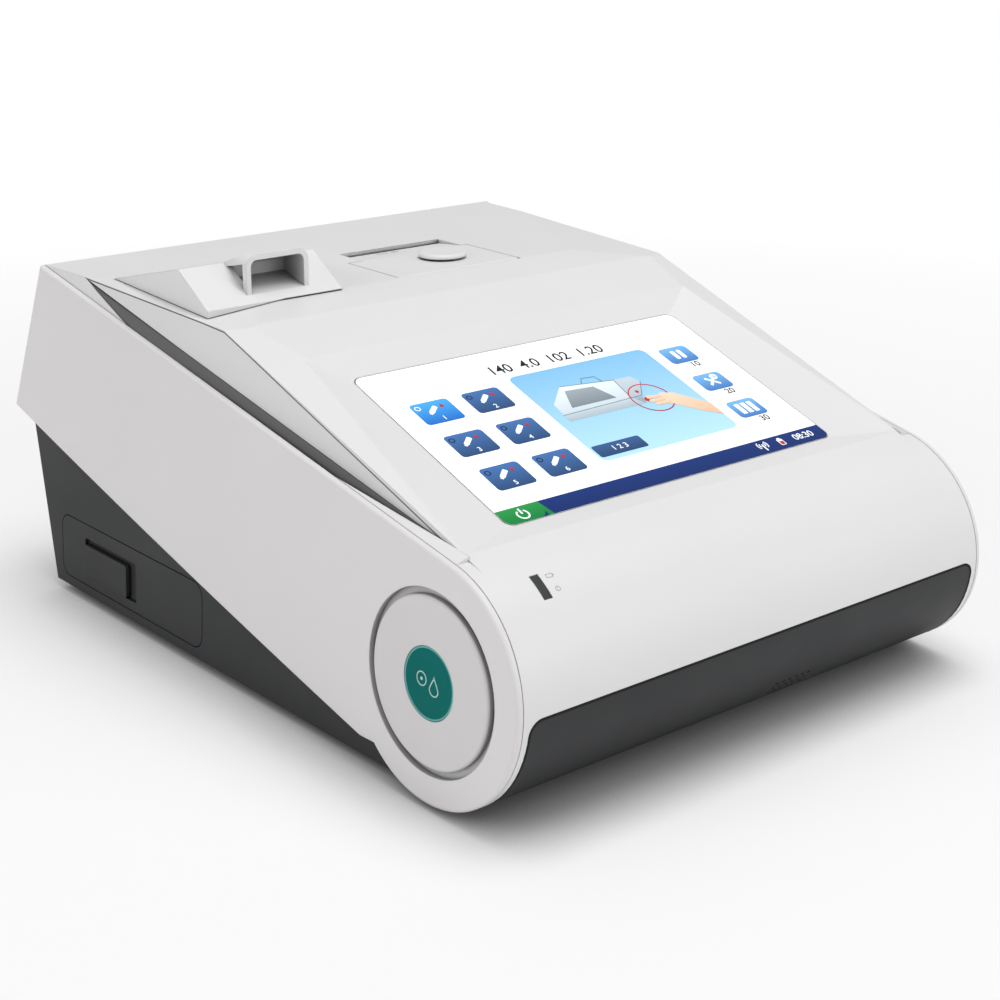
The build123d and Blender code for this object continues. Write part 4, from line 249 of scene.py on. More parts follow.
def flat_shape(points, thickness):
    """Plate with straight sides between the given corners"""
    bm = bmesh.new()
    verts = [bm.verts.new((x, y, 0)) for x, y in points]
    bm.faces.new(verts)
    return thickened(bm, thickness)


def digits(text, height, thickness):
    """Raised figures centred on the origin"""
    curve = bpy.data.curves.new("figures", "FONT")
    curve.body = text
    curve.size = height * 1.4
    curve.align_x = "CENTER"
    curve.align_y = "CENTER"
    curve.extrude = thickness / 2
    curve.offset = height * 0.012
    holder = bpy.data.objects.new("figures", curve)
    bpy.context.scene.collection.objects.link(holder)
    bpy.context.view_layer.update()
    mesh = bpy.data.meshes.new_from_object(holder.evaluated_get(bpy.context.evaluated_depsgraph_get()))
    bm = bmesh.new()
    bm.from_mesh(mesh)
    bmesh.ops.translate(bm, vec=(0, 0, thickness / 2), verts=bm.verts[:])
    bpy.data.objects.remove(holder)
    bpy.data.curves.remove(curve)
    bpy.data.meshes.remove(mesh)
    return bm


class Sheet:
    """One piece being put together from flat shapes, each with its own finish"""

    def __init__(self, name, materials):
        self.name = name
        self.materials = materials
        self.bm = bmesh.new()
        self.bm.loops.layers.uv.new("flat")

    def put(self, shape, x=0.0, y=0.0, z=0.0, turn=0.0, finish=0):
        """Adds a shape, with its width and height laid over the UV map"""
        uv = shape.loops.layers.uv.new("flat")
        xs = [v.co.x for v in shape.verts]
        ys = [v.co.y for v in shape.verts]
        low = Vector((min(xs), min(ys)))
        span = Vector((max(max(xs) - low.x, 1e-6), max(max(ys) - low.y, 1e-6)))
        for face in shape.faces:
            face.material_index = finish
            for loop in face.loops:
                loop[uv].uv = ((loop.vert.co.x - low.x) / span.x, (loop.vert.co.y - low.y) / span.y)
        place = Matrix.Translation((x, y, z)) @ Matrix.Rotation(math.radians(turn), 4, "Z")
        bmesh.ops.transform(shape, matrix=place, verts=shape.verts[:])
        mesh = bpy.data.meshes.new("part")
        shape.to_mesh(mesh)
        shape.free()
        self.bm.from_mesh(mesh)
        bpy.data.meshes.remove(mesh)

    def finish(self, place, body, slot):
        """Moves the piece from its flat coordinates in millimetres to its place on the analyzer"""
        bmesh.ops.transform(self.bm, matrix=place @ Matrix.Scale(MM, 4), verts=self.bm.verts[:])
        mesh = bpy.data.meshes.new(self.name)
        self.bm.to_mesh(mesh)
        self.bm.free()
        piece = bpy.data.objects.new(self.name, mesh)
        bpy.context.scene.collection.objects.link(piece)
        for material in self.materials:
            mesh.materials.append(material)
        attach(piece, body)


def placing(origin, across, up):
    """Matrix that puts flat coordinates at an origin in millimetres, with its X across and its Y up"""
    x = Vector(across).normalized()
    z = x.cross(Vector(up)).normalized()
    y = z.cross(x)
    columns = Matrix((x, y, z)).transposed().to_4x4()
    return Matrix.Translation(Vector(origin) * MM) @ columns


def glass_place(height=0.0):
    """Place on the glass: X to the right, Y up the slope"""
    up = Vector((0, math.cos(GLASS_TILT), math.sin(GLASS_TILT)))
    normal = Vector((1, 0, 0)).cross(up)
    return placing(Vector(GLASS_CENTRE) + normal * height, (1, 0, 0), up)


def left_side_place(y, z, proud):
    """Place on the left side: X towards the front, Y up"""
    x = -(SIDE_HALF_WIDTH + SIDE_TAPER * (y - NOSE_AXIS[0]) - SIDE_LEAN * (z - NOSE_AXIS[1]))
    normal = Vector((-1, -SIDE_TAPER, SIDE_LEAN)).normalized()
    up = Vector((0, 0, 1)) - normal * normal.z
    return placing(Vector((x, y, z)) + normal * proud, up.cross(normal), up)


def nose_place(x, angle, proud):
    """Place on the nose: X to the right, Y round the nose towards its top"""
    turn = math.radians(angle)
    out = Vector((0, math.cos(turn), math.sin(turn)))
    up = Vector((0, math.sin(turn), -math.cos(turn)))
    origin = Vector((x, NOSE_AXIS[0], NOSE_AXIS[1])) + out * (NOSE_RADIUS + proud)
    return placing(origin, (1, 0, 0), up)


# Finishes
def emptied(holder):
    """Nodes and links of a material or world, with nothing in them"""
    holder.use_nodes = True
    holder.node_tree.nodes.clear()
    return holder.node_tree.nodes, holder.node_tree.links


def new_material(name):
    material = bpy.data.materials.new(name)
    nodes, links = emptied(material)
    output = nodes.new("ShaderNodeOutputMaterial")
    shader = nodes.new("ShaderNodeBsdfPrincipled")
    links.new(shader.outputs["BSDF"], output.inputs["Surface"])
    return material, nodes, links, shader


def noise_on_object(nodes, links, scale, detail=3.0, stretch=(1, 1, 1)):
    where = nodes.new("ShaderNodeTexCoord")
    mapping = nodes.new("ShaderNodeMapping")
    mapping.inputs["Scale"].default_value = stretch
    noise = nodes.new("ShaderNodeTexNoise")
    noise.inputs["Scale"].default_value = scale
    noise.inputs["Detail"].default_value = detail
    links.new(where.outputs["Object"], mapping.inputs["Vector"])
    links.new(mapping.outputs["Vector"], noise.inputs["Vector"])
    return noise


def shade_between(nodes, links, factor, low, high, start=0.3, stop=0.7):
    ramp = nodes.new("ShaderNodeValToRGB")
    ramp.color_ramp.elements[0].position = start
    ramp.color_ramp.elements[0].color = (*low, 1)
    ramp.color_ramp.elements[1].position = stop
    ramp.color_ramp.elements[1].color = (*high, 1)
    links.new(factor, ramp.inputs["Fac"])
    return ramp


def range_between(nodes, links, factor, low, high, start=0.3, stop=0.7):
    mapped = nodes.new("ShaderNodeMapRange")
    mapped.inputs["From Min"].default_value = start
    mapped.inputs["From Max"].default_value = stop
    mapped.inputs["To Min"].default_value = low
    mapped.inputs["To Max"].default_value = high
    links.new(factor, mapped.inputs["Value"])
    return mapped


def scaled(color, factor):
    return tuple(min(1.0, c * factor) for c in color)


def rounded_edges(nodes, radius):
    edge = nodes.new("ShaderNodeBevel")
    edge.samples = 4
    edge.inputs["Radius"].default_value = radius
    return edge


def edge_wear(nodes, links, edge, base, edge_highlight_color):
    """Painted highlight: mixes a lighter second shade in where the surface turns over an edge"""
    geometry = nodes.new("ShaderNodeNewGeometry")
    dot = nodes.new("ShaderNodeVectorMath")
    dot.operation = "DOT_PRODUCT"
    links.new(edge.outputs["Normal"], dot.inputs[0])
    links.new(geometry.outputs["Normal"], dot.inputs[1])
    amount = range_between(nodes, links, dot.outputs["Value"], 0.35, 0.0, 0.80, 0.995)
    mix = nodes.new("ShaderNodeMix")
    mix.data_type = "RGBA"
    links.new(amount.outputs["Result"], mix.inputs["Factor"])
    links.new(base, mix.inputs["A"])
    mix.inputs["B"].default_value = (*edge_highlight_color, 1)
    return mix


def openness(nodes, reach):
    """How open the surroundings are within a reach, from 0 in a crevice to 1 in the open"""
    node = nodes.new("ShaderNodeAmbientOcclusion")
    node.samples = 8
    node.inputs["Distance"].default_value = reach
    return node.outputs["AO"]


def multiplied(nodes, links, a, b):
    node = nodes.new("ShaderNodeMath")
    node.operation = "MULTIPLY"
    links.new(a, node.inputs[0])
    links.new(b, node.inputs[1])
    return node.outputs["Value"]


def mix_shaders(nodes, links, factor, first, second, output):
    mix = nodes.new("ShaderNodeMixShader")
    links.new(factor, mix.inputs["Fac"])
    links.new(first, mix.inputs[1])
    links.new(second, mix.inputs[2])
    links.new(mix.outputs["Shader"], output.inputs["Surface"])


def crevice_shade(nodes, links, color, reach):
    """Painted shade: darkens a colour deep inside gaps and hollows"""
    amount = range_between(nodes, links, openness(nodes, reach), 0.18, 1.0, 0.12, 0.62)
    mix = nodes.new("ShaderNodeMix")
    mix.data_type = "RGBA"
    mix.inputs["A"].default_value = (0.012, 0.012, 0.012, 1)
    links.new(amount.outputs["Result"], mix.inputs["Factor"])
    links.new(color, mix.inputs["B"])
    return mix


def moulded_plastic(name, color, roughness, grain=2200.0, grain_depth=0.000012, spread=0.03, edge_highlight_color=None,
                    sheen=0.5, hollow=0.009):
    """Injection-moulded plastic with a fine spark-eroded grain, softened edges with a painted highlight, and
    painted shade deep in its crevices
    """
    material, nodes, links, shader = new_material(name)
    cloudy = noise_on_object(nodes, links, 9.0, 4.0)
    shade = shade_between(
        nodes, links, cloudy.outputs["Fac"], scaled(color, 1 - spread), scaled(color, 1 + spread))
    edge = rounded_edges(nodes, 0.0006)
    # Painted highlight: the colour turns lighter along rounded edges
    edge_lit = edge_wear(nodes, links, edge, shade.outputs["Color"], edge_highlight_color or scaled(color, 1.12))
    # Painted shade: the colour sinks towards near-black where the surroundings close in
    dark = crevice_shade(nodes, links, edge_lit.outputs["Result"], hollow)
    links.new(dark.outputs["Result"], shader.inputs["Base Color"])
    shader.inputs["Specular IOR Level"].default_value = sheen
    smears = noise_on_object(nodes, links, 26.0, 5.0, (1, 0.5, 1))
    rough = range_between(nodes, links, smears.outputs["Fac"], roughness - 0.05, roughness + 0.06)
    links.new(rough.outputs["Result"], shader.inputs["Roughness"])
    fine = noise_on_object(nodes, links, grain, 2.0)
    bump = nodes.new("ShaderNodeBump")
    bump.inputs["Strength"].default_value = 0.35
    bump.inputs["Distance"].default_value = grain_depth
    links.new(fine.outputs["Fac"], bump.inputs["Height"])
    links.new(edge.outputs["Normal"], bump.inputs["Normal"])
    links.new(bump.outputs["Normal"], shader.inputs["Normal"])
    shader.inputs["IOR"].default_value = 1.48
    return material


def brushed_metal(name, color, roughness, stretch=(60, 1, 60)):
    """Sheet or turned metal with fine lines along one direction"""
    material, nodes, links, shader = new_material(name)
    lines = noise_on_object(nodes, links, 40.0, 6.0, stretch)
    shade = shade_between(nodes, links, lines.outputs["Fac"], scaled(color, 0.86), scaled(color, 1.06))
    links.new(shade.outputs["Color"], shader.inputs["Base Color"])
    rough = range_between(nodes, links, lines.outputs["Fac"], roughness - 0.08, roughness + 0.12)
    links.new(rough.outputs["Result"], shader.inputs["Roughness"])
    edge = rounded_edges(nodes, 0.0003)
    bump = nodes.new("ShaderNodeBump")
    bump.inputs["Strength"].default_value = 0.2
    bump.inputs["Distance"].default_value = 0.00001
    links.new(lines.outputs["Fac"], bump.inputs["Height"])
    links.new(edge.outputs["Normal"], bump.inputs["Normal"])
    links.new(bump.outputs["Normal"], shader.inputs["Normal"])
    shader.inputs["Metallic"].default_value = 1.0
    return material


def screen_ink(name, low, high, glow):
    """Lit screen colour that shades across its own shape, under the gloss of the glass"""
    material, nodes, links, shader = new_material(name)
    where = nodes.new("ShaderNodeUVMap")
    where.uv_map = "flat"
    split = nodes.new("ShaderNodeSeparateXYZ")
    links.new(where.outputs["UV"], split.inputs["Vector"])
    shade = shade_between(nodes, links, split.outputs["Y"], low, high, 0.0, 1.0)
    links.new(shade.outputs["Color"], shader.inputs["Base Color"])
    links.new(shade.outputs["Color"], shader.inputs["Emission Color"])
    shader.inputs["Emission Strength"].default_value = glow
    shader.inputs["Specular IOR Level"].default_value = 0.25
    film = noise_on_object(nodes, links, 70.0, 4.0)
    rough = range_between(nodes, links, film.outputs["Fac"], 0.10, 0.2)
    links.new(rough.outputs["Result"], shader.inputs["Roughness"])
    return material


def printed_ink(name, color, roughness=0.5):
    """Thin pad-printed ink; the same flat ink also makes the strips of painted shadow"""
    material, nodes, links, shader = new_material(name)
    patchy = noise_on_object(nodes, links, 400.0, 3.0)
    shade = shade_between(nodes, links, patchy.outputs["Fac"], scaled(color, 0.92), scaled(color, 1.06))
    links.new(shade.outputs["Color"], shader.inputs["Base Color"])
    shader.inputs["Roughness"].default_value = roughness
    return material


def circuit_board(name, color):
    """Green solder resist with copper tracks showing through"""
    material, nodes, links, shader = new_material(name)
    where = nodes.new("ShaderNodeTexCoord")
    tracks = nodes.new("ShaderNodeTexVoronoi")
    tracks.distance = "MANHATTAN"
    tracks.inputs["Scale"].default_value = 240.0
    links.new(where.outputs["Object"], tracks.inputs["Vector"])
    shade = shade_between(
        nodes, links, tracks.outputs["Distance"], scaled(color, 0.7), scaled(color, 1.5), 0.35, 0.4)
    links.new(shade.outputs["Color"], shader.inputs["Base Color"])
    shader.inputs["Roughness"].default_value = 0.28
    return material


def wound_paper(name, color):
    """Rolled paper whose end shows its turns"""
    material, nodes, links, shader = new_material(name)
    where = nodes.new("ShaderNodeTexCoord")
    mapping = nodes.new("ShaderNodeMapping")
    mapping.inputs["Location"].default_value = [-place for place in PAPER_ROLL_AXIS]
    bands = nodes.new("ShaderNodeTexWave")
    bands.wave_type = "RINGS"
    bands.rings_direction = "X"
    bands.inputs["Scale"].default_value = 260.0
    bands.inputs["Distortion"].default_value = 0.6
    links.new(where.outputs["Object"], mapping.inputs["Vector"])
    links.new(mapping.outputs["Vector"], bands.inputs["Vector"])
    shade = shade_between(nodes, links, bands.outputs["Fac"], scaled(color, 0.9), color)
    links.new(shade.outputs["Color"], shader.inputs["Base Color"])
    shader.inputs["Roughness"].default_value = 0.8
    return material


def clear_window(name, color, alpha):
    """Tinted see-through plastic or glass"""
    material, nodes, links, shader = new_material(name)
    haze = noise_on_object(nodes, links, 30.0, 4.0)
    shade = shade_between(nodes, links, haze.outputs["Fac"], scaled(color, 0.96), scaled(color, 1.03))
    links.new(shade.outputs["Color"], shader.inputs["Base Color"])
    rough = range_between(nodes, links, haze.outputs["Fac"], 0.04, 0.12)
    links.new(rough.outputs["Result"], shader.inputs["Roughness"])
    shader.inputs["Alpha"].default_value = alpha
    return material


FINISHES = {}


class AnalyzerFinishes(bpy.types.Operator):
    """Gives every solid of the analyzer its finish"""

    bl_idname = "analyzer.finishes"
    bl_label = "Finishes"

    def execute(self, context):
        chosen = settings()
        shell = tuple(chosen.shell_color)
        cover = tuple(chosen.cover_color)
        base = tuple(chosen.base_color)
        FINISHES["shell_white"] = moulded_plastic("shell plastic", shell, 0.40, spread=0.012)
        FINISHES["cover_grey"] = moulded_plastic("side cover plastic", cover, 0.46, spread=0.015)
        # The dark base and the black plastic get a much paler painted highlight along their edges
        FINISHES["base_dark"] = moulded_plastic(
            "base plastic", base, 0.48, 1500.0, 0.00002, spread=0.06, edge_highlight_color=scaled(base, 2.0), sheen=0.3)
        # Groove strips coloured dark grey as painted shade of the grooves
        FINISHES["trim_grey"] = moulded_plastic("trim plastic with painted shade", tuple(chosen.trim_color), 0.4, spread=0.05)
        FINISHES["rubber_black"] = moulded_plastic("rubber", (0.02, 0.02, 0.02), 0.75, 900.0, 0.00003, 0.15)
        FINISHES["plastic_black"] = moulded_plastic(
            "black plastic", (0.022, 0.022, 0.023), 0.45, 1500.0, 0.00002, 0.1, edge_highlight_color=(0.06, 0.06, 0.06))
        FINISHES["badge_teal"] = moulded_plastic(
            "badge enamel", tuple(chosen.badge_color), 0.45, 3000.0, 0.000003, spread=0.12, sheen=0.06)
        FINISHES["screen_glass"] = clear_window("screen glass", (0.9, 0.93, 0.95), 0.25)
        FINISHES["screen_panel"] = screen_ink("screen panel", (0.02, 0.02, 0.025), (0.03, 0.03, 0.035), 0.0)
        FINISHES["window_dark"] = moulded_plastic(
            "scanner window", (0.03, 0.006, 0.01), 0.08, 3000.0, 0.000002)
        FINISHES["window_clear"] = moulded_plastic(
            "status window", (0.05, 0.052, 0.055), 0.15, 3000.0, 0.000003)
        FINISHES["steel_sheet"] = brushed_metal("zinc sheet", (0.55, 0.56, 0.57), 0.36)
        FINISHES["screw_steel"] = brushed_metal("screw steel", (0.42, 0.42, 0.43), 0.3, (60, 60, 1))
        FINISHES["contact_brass"] = brushed_metal("contact brass", (0.78, 0.56, 0.22), 0.28)
        FINISHES["board_green"] = circuit_board("circuit board", (0.012, 0.10, 0.035))
        FINISHES["paper_white"] = wound_paper("thermal paper", (0.82, 0.82, 0.79))
        FINISHES["card_brown"] = moulded_plastic("card", (0.35, 0.23, 0.12), 0.85, 600.0, 0.00004, 0.15)
        FINISHES["battery_blue"] = moulded_plastic(
            "battery sleeve", (0.02, 0.03, 0.07), 0.25, 800.0, 0.00001, 0.2)
        FINISHES["tube_clear"] = clear_window("pump tube", (0.7, 0.72, 0.7), 0.7)
        # The pack cap and the discs reach farther for their painted shade, so the hood's hollows and the ring
        # gaps turn darker
        hood = moulded_plastic("pack plastic", shell, 0.42, spread=0.012, hollow=0.020)
        turned = moulded_plastic("disc plastic", scaled(cover, 0.90), 0.42, spread=0.02, hollow=0.012)
        own = {"pack_cap": hood, "side_disc_left": turned, "side_disc_right": turned}
        for entry in frame["record"]["subparts"]:
            node = frame["nodes"][entry["node"]]
            node.data.materials.clear()
            node.data.materials.append(own.get(entry["node"], FINISHES[entry["material_slot"]]))
        return {"FINISHED"}


class AnalyzerScreen(bpy.types.Operator):
    """Lays the lit page on the glass: page, bar, tiles, picture and keys"""

    bl_idname = "analyzer.screen"
    bl_label = "Screen"

    def execute(self, context):
        chosen = settings()
        page = tuple(chosen.page_color)
        blue = tuple(chosen.tile_color)
        white = screen_ink("screen white", (0.85, 0.88, 0.92), (0.92, 0.94, 0.96), 0.35)
        dark = screen_ink("screen black", (0.012, 0.012, 0.014), (0.018, 0.018, 0.02), 0.05)
        red = screen_ink("screen red", (0.45, 0.02, 0.03), (0.6, 0.04, 0.05), 0.2)

        background = Sheet("screen_page", [screen_ink("screen page", page, page, 0.36)])
        background.put(plate(GLASS_SIZE[0] - PAGE_MARGIN, GLASS_SIZE[1] - PAGE_MARGIN, 0.08, 3.8))
        background.finish(glass_place(0.02), "housing", "screen_glass")
        self.put_bar(tuple(chosen.bar_color), white, red)
        self.put_tiles(chosen, blue, white, red, dark)

        heading = Sheet("screen_heading", [dark])
        heading.put(digits("140  4.0  102  1.20", 5.2, INK), 2.6, 33.6, FIRST_LAYER)
        heading.finish(glass_place(), "housing", "screen_glass")
        self.put_picture(blue, white, red, dark)
        self.put_keys(white, dark)
        return {"FINISHED"}

    def put_bar(self, navy, white, red):
        """Bar along the bottom, with its green end and plain signs"""
        low = 0.10
        middle = low + FILM
        top = middle + FILM
        strip = Sheet("screen_bar", [
            screen_ink("screen navy", scaled(navy, 0.9), scaled(navy, 1.15), 0.35),
            screen_ink("screen green", (0.0, 0.19, 0.035), (0.02, 0.27, 0.06), 0.35), white, red])
        strip.put(plate(GLASS_SIZE[0] - PAGE_MARGIN, BAR_HEIGHT, FILM, BAR_CORNER, True), 0, BAR_Y, low)
        strip.put(plate(17.4, BAR_HEIGHT, FILM, BAR_CORNER, True), -68.65, BAR_Y, middle, finish=1)
        half = BAR_HEIGHT / 2
        slant = flat_shape([(0, -half), (2.2, -half), (0.6, half), (0, half)], FILM)
        strip.put(slant, -60.0, BAR_Y, middle, finish=1)
        # Power sign
        strip.put(ring(2.5, 1.85, INK, 125, 290, 40), POWER_X, -42.2, top, finish=2)
        strip.put(plate(0.75, 2.9, INK, 0.3), POWER_X, -40.5, top, finish=2)
        # Clock
        strip.put(digits("08:30", 3.3, INK), 66.5, -41.6, middle, finish=2)
        # Battery sign
        strip.put(plate(2.6, 3.6, INK, 0.4), BATTERY_X, -41.9, middle, finish=2)
        strip.put(plate(1.3, 0.7, INK), BATTERY_X, -39.8, middle, finish=2)
        strip.put(plate(1.8, 2.0, INK), BATTERY_X, -42.4, middle + INK, finish=3)
        # Radio sign
        for reach in (1.0, 2.1):
            for start in (-45, 135):
                strip.put(ring(reach + 0.5, reach, INK, start, 90, 12), RADIO_X, -41.0, middle, finish=2)
        strip.put(plate(0.7, 3.8, INK, 0.2), RADIO_X, -42.4, middle, finish=2)
        strip.finish(glass_place(), "housing", "screen_glass")

    def put_tiles(self, chosen, blue, white, red, dark):
        """Six numbered sample tiles, the first one picked"""
        tile = (chosen.tile_width / MM, chosen.tile_height / MM, FILM, chosen.tile_corner / MM)
        tiles = Sheet("screen_tiles", [
            screen_ink("screen tile", scaled(blue, 0.62), scaled(blue, 1.5), 0.35),
            screen_ink("screen tile picked", (0.01, 0.13, 0.50), (0.06, 0.36, 0.78), 0.4), white, red, dark])
        spots = [(x, y) for y in TILE_ROWS for x in TILE_COLUMNS]
        for number, (x, y) in enumerate(spots, 1):
            picked = number == 1
            tiles.put(plate(*tile), x, y, FIRST_LAYER, finish=1 if picked else 0)
            mark = ring(1.25, 0.85, INK, steps=20)
            tiles.put(mark, x - 6.0, y + 3.6, SECOND_LAYER, finish=2 if picked else 4)
            tiles.put(bar((-2.6, -1.4), (1.2, 1.9), 2.0, INK, 0.5), x, y + 1.2, SECOND_LAYER, finish=2)
            tiles.put(bar((-3.2, -2.0), (-1.9, -0.9), 1.2, INK), x, y + 1.2, SECOND_LAYER, finish=2)
            tiles.put(drop_shape(2.4, INK), x + 3.8, y + 2.6, SECOND_LAYER, finish=3)
            tiles.put(digits(str(number), 2.3, INK), x + 0.4, y - 4.1, SECOND_LAYER, finish=2)
        tiles.finish(glass_place(), "housing", "screen_glass")

    def put_picture(self, blue, white, red, dark):
        """Picture of a hand holding a card to a plain unit, with a button below it"""
        detail = SECOND_LAYER + INK
        line = detail + FINE
        signal = 0.28
        hand = signal + FINE
        fingers = 0.34
        picture = Sheet("screen_picture", [
            screen_ink("picture sky", (0.42, 0.68, 0.84), (0.20, 0.46, 0.72), 0.36),
            screen_ink("picture body", (0.48, 0.56, 0.62), (0.74, 0.82, 0.87), 0.35),
            screen_ink("picture screen", (0.20, 0.24, 0.27), (0.32, 0.37, 0.41), 0.3),
            red,
            screen_ink("picture card", (0.72, 0.45, 0.30), (0.86, 0.62, 0.46), 0.35),
            screen_ink("screen button", scaled(blue, 0.55), scaled(blue, 1.0), 0.35), white, dark,
            screen_ink("picture shade", (0.36, 0.44, 0.50), (0.50, 0.58, 0.64), 0.35),
            screen_ink("picture line", (0.14, 0.18, 0.22), (0.20, 0.25, 0.30), 0.2)])
        picture.put(plate(67.0, 56.0, FILM, 3.2), 12.6, 0.0, FIRST_LAYER)
        body = [(-25, -9), (12, -9), (14, -4), (10, 8), (-14, 11), (-24, 2)]
        front = [(-25, -9), (12, -9), (14, -4), (-25, -5)]
        window = [(-18.5, -2), (3, -2), (-1, 7), (-14, 8)]
        side = [(12, -9), (14, -4), (20, 4), (18, 8), (10, 8), (8.5, -4)]
        for corners, thickness, layer, finish in (
                (body, INK, SECOND_LAYER, 1), (front, FINE, detail, 8), (window, INK, detail, 2),
                (side, FINE, detail, 8)):
            picture.put(flat_shape(corners, thickness), *UNIT_AT, layer, finish=finish)
        for start, end in (
                ((-25, -5), (14, -4)), ((-14, 11), (10, 8)), ((8.5, -4), (10, 8)), ((-4, 10.2), (-2, 13)),
                ((-2, 13), (4, 12.4)), ((4, 12.4), (5, 8.8)), ((14, -4), (20, 4))):
            picture.put(bar(start, end, 0.3, FINE), *UNIT_AT, line, finish=9)
        picture.put(ring(9.0, 8.5, FINE, steps=48), 25.5, -1.0, signal, finish=3)
        picture.put(disc(1.5, FINE, 24), 23.4, -1.6, signal, finish=3)
        picture.put(disc(0.8, FINE, 20), 22.6, 4.0, signal, finish=3)
        palm = [(27, -3.4), (30.5, 0.4), (36, -1.2), (46, -12.0), (46, -19.5), (40, -15.5), (32, -8)]
        picture.put(flat_shape(palm, INK), 0.0, 0.0, hand, finish=4)
        for start, end in (
                ((23.4, -0.6), (30, -1.6)), ((23.0, -3.0), (30, -3.6)), ((24.4, -5.2), (31, -5.8))):
            picture.put(bar(start, end, 1.9, INK, 0.8), 0.0, 0.0, fingers, finish=4)
        picture.put(plate(22.5, 6.8, FILM, 1.0), *BUTTON_AT, SECOND_LAYER, finish=5)
        picture.put(digits("1 2 3", 2.6, FINE), *BUTTON_AT, THIRD_LAYER, finish=6)
        picture.finish(glass_place(), "housing", "screen_glass")

    def put_keys(self, white, dark):
        """Three keys with plain signs and their numbers"""
        keys = Sheet("screen_keys", [
            screen_ink("screen key", (0.05, 0.17, 0.46), (0.17, 0.42, 0.74), 0.38), white, dark])
        for y in KEY_ROWS:
            keys.put(plate(14.0, 10.6, FILM, 2.0), KEY_X, y, FIRST_LAYER)
        for x in (-1.6, 1.6):
            keys.put(plate(2.0, 5.6, INK, 0.7), KEY_X + x, 19.8, SECOND_LAYER, finish=1)
        for turn in (45, -45):
            keys.put(bar((-3.4, 0), (3.4, 0), 1.2, INK, 0.5), KEY_X, 0.0, SECOND_LAYER, turn, finish=1)
        keys.put(ring(1.7, 0.8, INK, steps=20), 60.9, 2.3, 0.19, finish=1)
        for x in (-3.2, 0.0, 3.2):
            keys.put(plate(2.2, 6.4, INK, 0.3), KEY_X + x, -19.2, SECOND_LAYER, finish=1)
        for number, y in ((10, 12.0), (20, -7.8), (30, -27.0)):
            keys.put(digits(str(number), 3.2, INK), 60.5, y, FIRST_LAYER, finish=2)
        keys.finish(glass_place(), "housing", "screen_glass")


class AnalyzerBadgeMark(bpy.types.Operator):
    """Adds the pale rim and the plain drop mark of the round badge"""

    bl_idname = "analyzer.badge_mark"
    bl_label = "Badge mark"

    def execute(self, context):
        pale = printed_ink("badge ink", (0.50, 0.72, 0.68), 0.35)
        rim = printed_ink("badge rim", (0.10, 0.42, 0.40), 0.4)
        mark = Sheet("badge_mark", [pale, rim])
        mark.put(ring(12.2, 11.6, FILM), finish=1)
        mark.put(ring(2.5, 2.1, INK, steps=36), -3.6, 0.6)
        mark.put(disc(0.6, INK, 20), -3.6, 0.6)
        mark.put(drop_shape(7.0, INK, 0.42), 2.6, -1.4)
        mark.finish(left_side_place(*NOSE_AXIS, BADGE_PROUD), "housing", "badge_teal")
        return {"FINISHED"}


class AnalyzerPrintedMarks(bpy.types.Operator):
    """Prints the small battery and power marks and the paper mark"""

    bl_idname = "analyzer.printed_marks"
    bl_label = "Printed marks"

    def execute(self, context):
        grey = printed_ink("mark ink", (0.42, 0.42, 0.43))
        battery = Sheet("battery_mark", [grey])
        battery.put(outline_plate(2.6, 1.5, FINE, 0.2, 0.16))
        battery.put(plate(0.3, 0.7, FINE), 1.45, 0)
        battery.finish(nose_place(MARKS_X, 121.5, 0.02), "housing", "shell_white")
        power = Sheet("power_mark", [grey])
        power.put(ring(0.95, 0.78, FINE, 120, 300, 24))
        power.put(plate(0.17, 1.1, FINE), 0, 0.6)
        power.finish(nose_place(MARKS_X, 128.5, 0.02), "housing", "shell_white")
        slope = Vector((0, SLOT_REAR_Y - SLOT_FRONT_Y, -SLOT_DROP)).normalized()
        paper = Sheet("paper_mark", [grey])
        paper.put(outline_plate(4.2, 2.6, FINE, 0.3, 0.18))
        paper.put(outline_plate(3.0, 2.6, FINE, 0.3, 0.18), 6.2)
        paper.put(plate(0.2, 1.8, FINE), 6.2)
        paper.finish(placing(PAPER_MARK_PLACE, (1, 0, 0), slope), "printer_door", "shell_white")
        return {"FINISHED"}


def plateau_spot(side, y, z):
    """Point on the leaning side face of the roof"""
    x = PLATEAU_HALF_WIDTH + PLATEAU_TAPER * (y - CREST[0]) - PLATEAU_LEAN * (z - CREST[1])
    return Vector((side * x, y, z))


def nose_spot(side, inset, drop):
    """Point on the nose, inset from a side face and a distance down from the nose's foremost line"""
    turn = math.pi + drop / NOSE_RADIUS
    y = NOSE_AXIS[0] + NOSE_RADIUS * math.cos(turn)
    z = NOSE_AXIS[1] + NOSE_RADIUS * math.sin(turn)
    x = SIDE_HALF_WIDTH + SIDE_TAPER * (y - NOSE_AXIS[0]) - SIDE_LEAN * (z - NOSE_AXIS[1]) - inset
    return Vector((side * x, y, z))


def strip_along(points, width, thickness, out):
    """Thin flat strip along a bent line, lying on the face that looks in the direction out"""
    bm = bmesh.new()
    for a, b in zip(points, points[1:]):
        made = bmesh.ops.create_cube(bm, size=1.0)
        along = (b - a).normalized()
        up = along.cross(out).normalized()
        normal = up.cross(along)
        turn = Matrix((along, up, normal)).transposed().to_4x4()
        size = Matrix.Diagonal(((b - a).length + width / 2, width, thickness, 1))
        bmesh.ops.transform(
            bm, matrix=Matrix.Translation((a + b) / 2) @ turn @ size, verts=made["verts"])
    return bm


